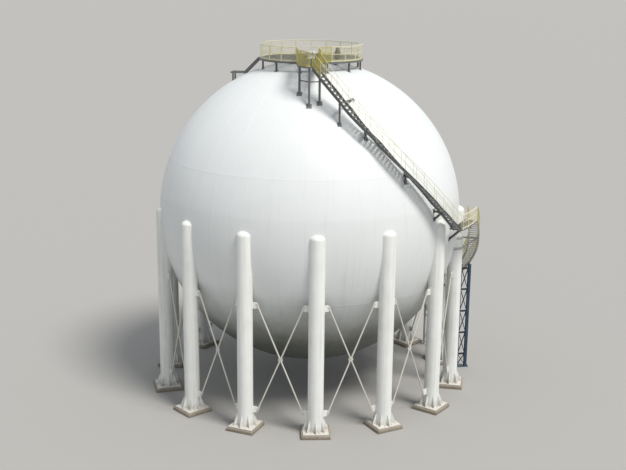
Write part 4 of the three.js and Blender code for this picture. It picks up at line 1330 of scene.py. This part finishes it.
def sector_floor(start, end, reach, level):
    """A floor of grating in a channel frame, shaped as a sector round the tank's axis"""
    inner, outer = reach
    half = (end - start) / 2
    frame_level = level - landing_frame / 2
    floor = bmesh.new()
    for radius, side in ((outer - 0.03, -1), (inner + 0.03, 1)):
        swept(floor, channel(0.06, landing_frame, side=side),
              hoop_places(radius, frame_level, -half, half, max(2, round(half / 0.75))))
    for side in (-1, 1):
        inward = turned(side * half) @ Vector((-side * 0.03, 0, 0))
        ends = [spot + inward for spot in radial(side * half, inner + 0.05, outer - 0.05, frame_level)]
        member(floor, *ends, channel(0.06, landing_frame, side=-side))
    edge = arc_line(-half, half, outer, 0, 1.5) + arc_line(half, -half, inner, 0, 1.5)
    grated(floor, chords_of([spot.xy for spot in edge]), level)
    width = 2 * half * math.radians(1) * outer
    ribs = max(1, round(width / 0.9))
    for i in range(1, ribs):
        rib_level = level - grating_bar[1] - 0.022
        member(floor, *radial(half * (2 * i / ribs - 1), inner + 0.04, outer - 0.04, rib_level),
               h_section(0.05, 0.044, 0.006, 0.006))
    rods = round(width / cross_pitch)
    wires(floor, [radial(half * (2 * i / rods - 1), inner + 0.05, outer - 0.05, level - 0.004)
                  for i in range(1, rods)], 0.004, 4)
    bm = bmesh.new()
    welded(bm, floor, [turned((start + end) / 2)])
    return bm


landing_start = azimuth_of(upper[-1]) - landing_overlap
landing = sector_floor(landing_start, landing_end, landing_reach, equator_level)
beam_level = equator_level - landing_frame - 0.065
root, foot = [polar(landing_bracket, ball_rise(level - ball_level), level)
              for level in (beam_level, equator_level - landing_drop)]
bracket(landing, root, polar(landing_bracket, landing_reach[1] - 0.04, beam_level),
        foot - polar(landing_bracket, 0.02, 0),
        polar(landing_bracket, landing_reach[1] - landing_head, beam_level), landing_strut)
for spot in (root, foot):
    shell_pad(landing, spot, 0.34, 0.34)
rail_line = arc_line(landing_start + 0.8, landing_end - 0.6, landing_rail, equator_level)
welded(landing, railing(rail_line, pitch=0.06), material=1)
finished(landing, "equator_landing_dressed", "stair_paint", [dark_steel, rail_pale], "equator_landing")

# Lower flight
# The second winding flight, outside the columns, from the equator landing down to the middle
# landing. It is painted light grey, with yellow mesh railings on both sides. Two brackets on
# bands round the columns carry it on its way down.
lower_radius = 13.745
lower_slope = 0.766
middle_level = 5.825
lower_brackets = (3, 4)
lower_strut_drop = 0.87
band_width = 0.22
light_tint = (0.44, 0.45, 0.44, 1)
light_dust = (0.50, 0.48, 0.42, 1)
mesh_tint = (0.56, 0.53, 0.27, 1)
light_steel = steel_finish("light grey steelwork", light_tint, light_dust, 0.2, 0.45, 0.5)
mesh_yellow = steel_finish("yellow mesh paint", mesh_tint, rail_faded, 0.12, 0.45, 0.6)
lower = winding(landing_end, equator_level, middle_level, lambda level: lower_radius, lower_slope)
lower_flight = flight(lower)
for number in lower_brackets:
    azimuth = number * bay
    level = nearest(lower, azimuth).z - bracket_drop
    low = level - lower_strut_drop
    face = column_ring + column_radius - 0.01
    tip = lower_radius + stair_half
    bracket(lower_flight, polar(azimuth, face, level), polar(azimuth, tip, level),
            polar(azimuth, face, low), polar(azimuth, tip - 0.2, level), 0.1)
    band = bmesh.new()
    drum(band, column_radius + 0.012, -band_width / 2, band_width / 2, 40)
    for way in (-1, 1):
        block(band, (0.16, 0.05, band_width), (way * (column_radius + 0.07), 0, 0))
        hex_bolts(band, [shift(way * (column_radius + 0.09), -0.025, lift) @ turned(90, "X")
                         for lift in (-0.06, 0.06)], 0.016, 0.018)
    welded(lower_flight, band, [turned(azimuth) @ shift(0, -column_ring, height) for height in (level, low)])
finished(lower_flight, "lower_flight_dressed", "lower_stair_paint", [light_steel], "lower_stair")
for side, word in ((1, "outer"), (-1, "inner")):
    rail = flight_rail(lower, side, wire=0.0028)
    finished(rail, f"lower_{word}_rail_dressed", "yellow_paint", [mesh_yellow], f"lower_stair_{word}_rail")

# Stair trestle
# Twin H-section posts under the lower flight, tied by bars and crossed angles, on one base plate
# bolted down. It is painted dark blue, and the bolts and gussets are painted with it.
trestle_azimuth = 95.4
post_size = 0.24
trestle_base = 0.05
trestle_bar = 0.14
blue_tint = (0.016, 0.045, 0.085, 1)
blue_dust = (0.10, 0.13, 0.15, 1)
blue_steel = steel_finish("dark blue steelwork", blue_tint, blue_dust, 0.2, 0.4, 0.5)
stand = nearest(lower, trestle_azimuth)
trestle_top = stand.z - 0.36
bar_levels = (1.2, 3.2, 5.2, 7.2, trestle_top - 0.35)
trestle = bmesh.new()
for side in (-1, 1):
    x = side * stair_half
    stood(trestle, h_section(post_size, post_size), (x, 0), trestle_base, trestle_top - 0.02)
    block(trestle, (0.28, 0.28, 0.02), (x, 0, trestle_top - 0.01))
    block(trestle, (0.012, 0.2, 0.24), (x - side * 0.024, 0, trestle_top + 0.12))
    for level in bar_levels:
        block(trestle, (0.012, 0.2, 0.26), (x - side * 0.126, 0, level))
    fin = [(x + side * 0.12, trestle_base), (x + side * 0.22, trestle_base), (x + side * 0.12, 0.28)]
    welded(trestle, plate(fin, 0.014), [shift(0, y, 0) for y in (-0.08, 0.08)])
for low, high in zip((0.15, *bar_levels), bar_levels):
    member(trestle, (-0.27, 0, high), (0.27, 0, high), h_section(trestle_bar, trestle_bar))
    for way in (-1, 1):
        member(trestle, (-way * 0.28, way * 0.03, low + 0.1), (way * 0.28, way * 0.03, high - 0.1),
               angle_section(0.075, 0.06))
block(trestle, (1.28, 0.5, trestle_base), (0, 0, trestle_base / 2))
hex_bolts(trestle, [shift(x, y, trestle_base) for x in (-0.56, -0.2, 0.2, 0.56) for y in (-0.19, 0.19)],
          0.022, 0.05)
bmesh.ops.transform(trestle, matrix=turned(azimuth_of(stand) - 90) @ shift(lower_radius, 0, 0),
                    verts=trestle.verts)
finished(trestle, "trestle_dressed", "blue_paint", [blue_steel], "stair_trestle")

# Middle landing
# A short sector of grating on four H-section legs with base plates, where the stair leaves the
# curve round the tank. It is light grey, with a mesh railing on the outer side.
middle_reach = (13.19, 14.2)
middle_sweep = 5.5
leg_size = 0.13
leg_radii = (13.31, 14.08)
middle_start = azimuth_of(lower[-1])
middle_end = middle_start + middle_sweep
middle = sector_floor(middle_start, middle_end, middle_reach, middle_level)
leg_top = middle_level - landing_frame
leg_azimuths = (middle_start + 0.6, middle_end - 0.7)
leg = bmesh.new()
stood(leg, h_section(leg_size, leg_size, 0.008, 0.01), (0, 0), 0.02, leg_top - 0.01)
block(leg, (leg_size + 0.03, leg_size + 0.03, 0.01), (0, 0, leg_top - 0.005))
block(leg, (0.26, 0.22, 0.02), (0, 0, 0.01))
hex_bolts(leg, [shift(x, y, 0.02) for x in (-0.1, 0.1) for y in (-0.08, 0.08)], 0.014, 0.03)
welded(middle, leg, [turned(azimuth) @ shift(0, -radius, 0) for azimuth in leg_azimuths
                     for radius in leg_radii])
half_way = middle_level / 2
for azimuth in leg_azimuths:
    for low, high, outline in ((half_way, half_way, h_section(0.09, 0.11)),
                               (0.25, half_way - 0.1, angle_section(0.06, 0.06)),
                               (half_way + 0.1, leg_top - 0.2, angle_section(0.06, 0.06))):
        member(middle, polar(azimuth, leg_radii[0], low), polar(azimuth, leg_radii[1], high), outline)
for radius in leg_radii:
    member(middle, *[polar(azimuth, radius, half_way) for azimuth in leg_azimuths], h_section(0.08, 0.08))
welded(middle, railing(arc_line(middle_start + 0.7, middle_end - 0.7, landing_rail, middle_level)))
finished(middle, "middle_landing_dressed", "lower_stair_paint", [light_steel], "middle_landing")

# Base flight and its footing
# A straight flight of the same channels and grating treads from the middle landing to the
# ground. Its stringers stand in shoes bolted to a cast concrete footing.
foot_level = 0.15
base_way = polar(middle_end + 90, 1, 0)
base_start = polar(middle_end + 0.08, 13.695, middle_level)
footing_size = (1.2, 1.3, foot_level)


def straight(start, way, bottom, slope):
    """Stations of a straight flight, from the top down"""
    risers = round((start.z - bottom) / riser)
    rise = (start.z - bottom) / risers
    return [start + way * (i * rise / slope) - upward * (i * rise) for i in range(risers + 1)]


base = straight(base_start, base_way, foot_level, lower_slope)
base_flight = flight(base, bottom_cut=foot_level + 0.02)
for side in (-1, 1):
    spot = side_of(base, len(base) - 1, side * stair_half)[0]
    turn = shift(*spot.xy, 0) @ turned(middle_end)
    block(base_flight, (0.40, 0.16, 0.015), (-0.12, 0, foot_level + 0.0125), turn)
    hex_bolts(base_flight, [turn @ shift(x, side * 0.05, foot_level + 0.02) for x in (-0.27, 0.03)],
              0.012, 0.03)
finished(base_flight, "base_flight_dressed", "lower_stair_paint", [light_steel], "base_stair")
base_rails = bmesh.new()
for side in (-1, 1):
    welded(base_rails, flight_rail(base, side, pitch=0.045, wire=0.0032))
finished(base_rails, "base_flight_rails", "yellow_paint", [mesh_yellow])
footing = bmesh.new()
footing_spot = base[-1] - base_way * 0.08
welded(footing, eased_block(footing_size, (0, 0, foot_level / 2), 0.015),
       [shift(*footing_spot.xy, 0) @ turned(middle_end)])
finished(footing, "footing_dressed", "concrete", [cast_concrete], "stair_footing")

# Side stair
# Five treads down from the left side of the platform to a small landing on two posts, where a
# walkway arrives. Channels, treads and grating are those of the rest of the stairs.
side_azimuth = 259
side_level = deck_top - 1.22
side_box = strip(-0.5, -6.585, 0.5, -5.385)
side_frame = 0.1
side_post = (0.42, -6.385)
side_way = polar(side_azimuth, 1, 0)
steps_down = straight(side_way * (deck_radius + 0.025) + upward * deck_top, side_way, side_level, 1.0)
side_stair = flight(steps_down, deck_top)
floor = bmesh.new()
framed(floor, side_box, side_level, side_frame)
grated(floor, chords_of(side_box), side_level)
post_x, post_y = side_post
for x in (-post_x, post_x):
    foot = Vector((x, post_y, ball_level + ball_rise(math.hypot(x, post_y))))
    stood(floor, h_section(0.11, 0.11), (x, post_y), foot.z - 0.02, side_level - side_frame)
    member(floor, (x, -5.4, side_level - 0.08), (x, -6.55, side_level - 0.08), h_section(0.08, 0.07))
    shell_pad(side_stair, turned(side_azimuth) @ foot, 0.28, 0.28)
member(floor, (-post_x, post_y, side_level - 0.45), (post_x, post_y, side_level - 0.45),
       angle_section(0.07, 0.07))
welded(side_stair, floor, [turned(side_azimuth)])
finished(side_stair, "side_stair_dressed", "stair_paint", [dark_steel], "side_stair")

# Relief valve
# A cast valve on the deck in dark paint: a bolted foot flange, a round body with a flange round
# its middle, and a tapered bonnet under a cap.
valve_place = Vector((2.0, -1.7, deck_top))
valve_profile = [(0.0, 0.004), (0.295, 0.004), (0.295, 0.058), (0.20, 0.07), (0.20, 0.11), (0.225, 0.16),
                 (0.225, 0.50), (0.20, 0.56), (0.228, 0.57), (0.228, 0.645), (0.178, 0.65), (0.15, 0.84),
                 (0.135, 0.90), (0.150, 0.91), (0.150, 0.97), (0.07, 0.985), (0.05, 1.027), (0.0, 1.027)]
valve_bolts = ((0.262, 0.058, 10), (0.205, 0.645, 8))
valve_tint = (0.075, 0.065, 0.055, 1)
valve_dust = (0.24, 0.20, 0.15, 1)
valve_coat = steel_finish("dark valve paint", valve_tint, valve_dust, 0.35, 0.4, 0.4)
valve = lathe(valve_profile, 32)
for ring, level, count in valve_bolts:
    hex_bolts(valve, round_places(count, ring, level, 0.5), 0.013, 0.016)
bmesh.ops.translate(valve, verts=valve.verts, vec=valve_place)
finished(valve, "valve_dressed", "valve_paint", [valve_coat], "relief_valve")
